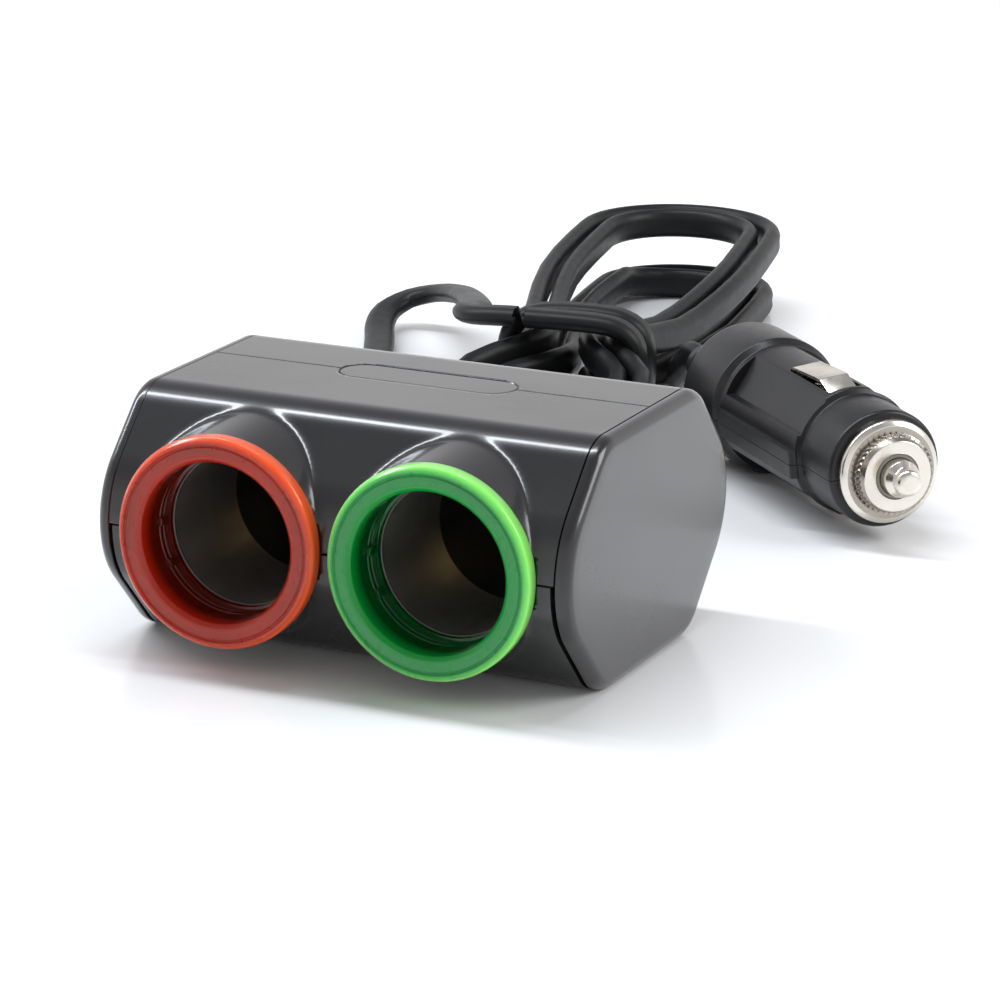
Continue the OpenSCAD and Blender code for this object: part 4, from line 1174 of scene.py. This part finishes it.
def plug_half(name, side):
    """A half of the plug and its screw post, with a blind hole above, or a way and a seat below."""
    half = plug_body()
    limits = on_side(side, PLUG_SPLIT, CLEAR_OF_PLUG)
    room = block_piece((-1, 58), (-CLEAR_OF_PLUG, CLEAR_OF_PLUG), limits, PLUG_AXIS)
    cut(half, [room], "INTERSECT", sharp=30)
    out = turned_up(PLUG_AXIS, (PLUG_SCREW_X, 0, 0), side)
    cut(half, [rod_piece(out, 2.6, 0.06, 9.9, 48)], "UNION", sharp=30)
    if side > 0:
        holes = [rod_piece(out, 1.15, -1, 6, 40)]
    else:
        holes = [rod_piece(out, 1.35, -1, 12, 40), rod_piece(out, 2.45, 8.6, CLEAR_OF_PLUG, 48)]
    cut(half, holes, sharp=30)
    half.name = name
    return drop_slivers(half, 30)


for name, side in (("plug_shell_upper", 1), ("plug_shell_lower", -1)):
    stands_for(plug_half(name, side), "housing", "plug_black", name)

boot_axis = PLUG_AXIS @ Matrix.Rotation(math.pi, 4, "Z")
boot = grooved_sleeve("plug_boot", boot_axis, low=0.1, high=BOOT_L, r_low=4.6, r_high=3.4, start=0.6,
                      neck=[(-3.2, 4.6, 0.3), (-1.85, 4.6, 0.2), (-1.85, 3.9, 0.1), (0.1, 3.9, 0.1)])
stands_for(boot, "housing", "cord_rubber", "plug_boot")

from_below = turned_up(PLUG_AXIS, (PLUG_SCREW_X, 0, 0))
plug_screw = pan_screw(from_below @ Matrix.Translation((-10.0, 0, 0)), length=10.5, head_radius=2.25)
plug_screw.name = "plug_screw"
stands_for(plug_screw, "housing", "screw_steel", "plug_screw")


def side_contact(name, side):
    """A spring strip folded to a crest, with a foot at each end and its edges eased."""
    strip = [(26.8, 8.2, 0.2), (26.8, 10.45, 0.5), (35.73, 10.97, 1.0), (37.2, 10.97, 0.9),
             (41.2, 9.0, 0.8), (41.2, 8.2, 0.2), (40.55, 8.2, 0.1), (40.55, 8.9, 0.4), (37.0, 10.35, 0.6),
             (35.7, 10.35, 0.6), (27.45, 9.85, 0.3), (27.45, 8.2, 0.1)]
    outline = mirrored(eased_corners(strip), 1, side)
    contact = drawn_piece("strip", PLUG_AXIS, outline, -2.4, 2.4, "y", sharp=30)
    edge = contact.modifiers.new("edge", "BEVEL")
    edge.width = 0.12 * MM
    edge.segments = 2
    edge.limit_method = "ANGLE"
    edge.angle_limit = math.radians(60)
    made = worked(contact)
    bpy.data.objects.remove(contact)
    shade(made, 30)
    return link(name, made)


for side, way in ((1, "upper"), (-1, "lower")):
    name = "side_contact_" + way
    stands_for(side_contact(name, side), "contact_" + way, "nickel", name)


def nose_nut():
    """The plated nose: a rounded flange, a knurled neck and a flat face with the bush's hole."""
    body = turned_piece("nut", PLUG_AXIS, [
        (53.5, 5.6, 0.1), (53.5, 7.6, 0.5), (54.1, NUT_R, 0.5), (55.0, NUT_R, 0.5), (55.5, 7.3, 0.4),
        (55.55, NECK_R, 0.15), (57.0, NECK_R, 0.3), (57.9, 5.5, 0.2), (57.9, 3.56, 0.15), (57.0, 3.56, 0.1),
        (57.0, 5.58, 0.1)], sides=128, sharp=35)
    tooth_outline = eased_corners([(5.7, -0.36, 0), (6.4, -0.1, 0.05), (6.4, 0.1, 0.05), (5.7, 0.36, 0)],
                                  steps=2)
    tooth = drawn_piece("tooth", Matrix(), tooth_outline, 55.7, 57.05, "x", sharp=35)
    middle = Matrix.Translation((56.5 * MM, 6.3 * MM, 0))
    tooth.data.transform(middle @ Matrix.Rotation(math.radians(28), 4, "Y") @ middle.inverted())
    sizes = {"Count": KNURL_TEETH, "Pitch angle": 2 * math.pi / KNURL_TEETH}
    knurl = laid_out("knurl", tooth, LOOKS["nickel"], "ring", **sizes)
    # From round the X axis to round the plug's axis
    knurl.data.transform(Matrix.Scale(1 / MM, 4))
    knurl.data.transform(PLUG_AXIS)
    knurl.data.transform(Matrix.Scale(MM, 4))
    return join("nose_nut", [body, knurl])


nut = nose_nut()
stands_for(nut, "nut", "nickel", "nose_nut")
nut.data.materials.append(LOOKS["knurled"])
# The faces of the teeth get a darker copy of the nickel plate, as painted shade in the knurl
for face in nut.data.polygons:
    spot = PLUG_AXIS.inverted() @ (face.center / MM)
    if 55.5 < spot.x < 57.5 and math.hypot(spot.y, spot.z) > KNURL_R:
        face.material_index = 1

bush = turned_piece("tip_insulator", PLUG_AXIS, [
    (56.55, 2.98, 0.05), (56.55, 5.45, 0.1), (56.93, 5.45, 0.05), (56.93, 3.5, 0.05), (57.85, 3.5, 0.15),
    (57.85, 2.98, 0.1)], sides=96, sharp=35)
stands_for(bush, "bush", "insulator", "tip_insulator")

tip = turned_piece("plug_tip", PLUG_AXIS, [
    (FUSE_END, 0.0, 0), (FUSE_END, PIN_BASE_R, 0.3), (56.25, PIN_BASE_R, 0.2), (56.3, PIN_R, 0.15),
    (59.6, PIN_R, 0.3), (60.45, PIN_POINT_R, 0.3), (PIN_END, PIN_POINT_R, 1.75),
    (PIN_END, 0.0, 0)], sides=96, sharp=40, steps=8)
stands_for(tip, "tip", "nickel", "plug_tip")

fuse = turned_piece("plug_fuse", PLUG_AXIS, [
    (FUSE_START, 0.0, 0), (FUSE_START, FUSE_R, 0.4), (29.0, FUSE_R, 0.15), (29.0, FUSE_R - 0.2, 0.1),
    (47.0, FUSE_R - 0.2, 0.1), (47.0, FUSE_R, 0.15), (FUSE_END, FUSE_R, 0.4),
    (FUSE_END, 0.0, 0)], sides=72, sharp=40)
stands_for(fuse, "tip", "fuse_glass", "plug_fuse")


def coil_spring(name, frame_of, radius, wire, low, high, turns, joint):
    """A spring along its frame's X axis from low to high; its joint's name tells which CAD node it stands
    for.
    """
    steps = 28
    sides = 12
    rise = 2.1 * wire
    turn_at = (0, 1, turns - 1, turns)
    x_at = (low + wire, low + wire + rise, high - wire - rise, high - wire)
    rings = []
    for i in range(int(turns * steps) + 1):
        x = np.interp(i / steps, turn_at, x_at)
        around = 2 * math.pi * i / steps
        ring = []
        for k in range(sides):
            b = 2 * math.pi * k / sides
            r = radius + wire * math.cos(b)
            ring.append((x + wire * math.sin(b), r * math.cos(around), r * math.sin(around)))
        rings.append(ring)
    points, faces = skin_rings(rings)
    spring = mesh_piece(name, placed(points, frame_of), faces, sharp=50)
    node = "contact_springs" if "contact" in joint else "fuse_spring"
    stands_for(spring, "housing", "spring_steel", node)
    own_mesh(spring)


coil_spring("fuse_spring", PLUG_AXIS, radius=2.5, wire=0.35, low=14.1, high=22.9, turns=7,
            joint="tip_press")
for side, way in ((1, "upper"), (-1, "lower")):
    seat = turned_up(PLUG_AXIS, (CONTACT_SPRING_X, 0, 0), side)
    coil_spring("contact_spring_" + way, seat, radius=1.5, wire=0.28, low=5.2, high=10.05, turns=4.5,
                joint="contact_" + way + "_press")


# Cord, inner pieces and stage
cord, cord_path = make_cord()
stands_for(cord, "housing", "cord_pvc", "cord_lead", "cord_hank", "cord_tail")
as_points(cord_path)
# The pieces inside the housing keep the CAD's meshes
for name, piece in frame["nodes"].items():
    dress(piece, SLOTS[name])

stage_floor = mesh_piece("floor", [(-4000, -4000, 0), (4000, -4000, 0), (4000, 4000, 0), (-4000, 4000, 0)],
                         [(0, 1, 2, 3)])


# Light
def floor_look():
    made, b = material("studio_floor")
    b.surface(Base_Color=(0.93, 0.93, 0.93), Roughness=0.22, IOR=1.4)
    stage_floor.data.materials.append(made)


def make_world():
    """White to the camera; as a light, white from below and grey from above."""
    world = bpy.data.worlds.new("studio")
    bpy.context.scene.world = world
    world.use_nodes = True
    b = Bench(world.node_tree)
    height = b.split(b.node("ShaderNodeTexCoord", out=0))[2]
    stops = [(0.0, (1, 1, 1, 1)), (0.35, (0.85, 0.85, 0.86, 1)), (0.65, (0.4, 0.4, 0.42, 1)),
             (1.0, (0.35, 0.35, 0.37, 1))]
    sky = b.node("ShaderNodeValToRGB", {"ramp": stops}, Fac=height)
    path = b.node("ShaderNodeLightPath", out=None)
    camera_ray = Wire(b, path.outputs["Is Camera Ray"])
    shade_of = b.mix(camera_ray, sky, (1, 1, 1))
    back = b.node("ShaderNodeBackground", out=None, Color=shade_of, Strength=1.0)
    out = b.node("ShaderNodeOutputWorld", out=None)
    b.tree.links.new(back.outputs[0], out.inputs["Surface"])


def softbox(name, place, size, aim, power, tint=(1, 1, 1)):
    """An area lamp whose long side lies along X, turned to its aim about that side."""
    data = bpy.data.lights.new(name, "AREA")
    data.shape = "RECTANGLE"
    data.size, data.size_y = size
    data.energy = power
    data.color = tint
    lamp = link(name, data)
    back = (Vector(place) - Vector(aim)).normalized()
    side = Vector((1, 0, 0))
    side = (side - back * side.dot(back)).normalized()
    turn = Matrix((side, back.cross(side), back)).transposed().to_4x4()
    lamp.matrix_world = Matrix.Translation(Vector(place)) @ turn


floor_look()
make_world()
# Places, sizes and aims in metres, power in watts
softbox("overhead", (-0.38, 0.095, 0.84), size=(1.3, 0.1), aim=(0, -0.02, 0.03), power=9,
        tint=(0.9, 0.95, 1))
softbox("side", (1.1, 0.4, 0.8), size=(0.7, 0.7), aim=(0, 0.05, 0.02), power=9)

bpy.context.scene.view_settings.view_transform = "Standard"
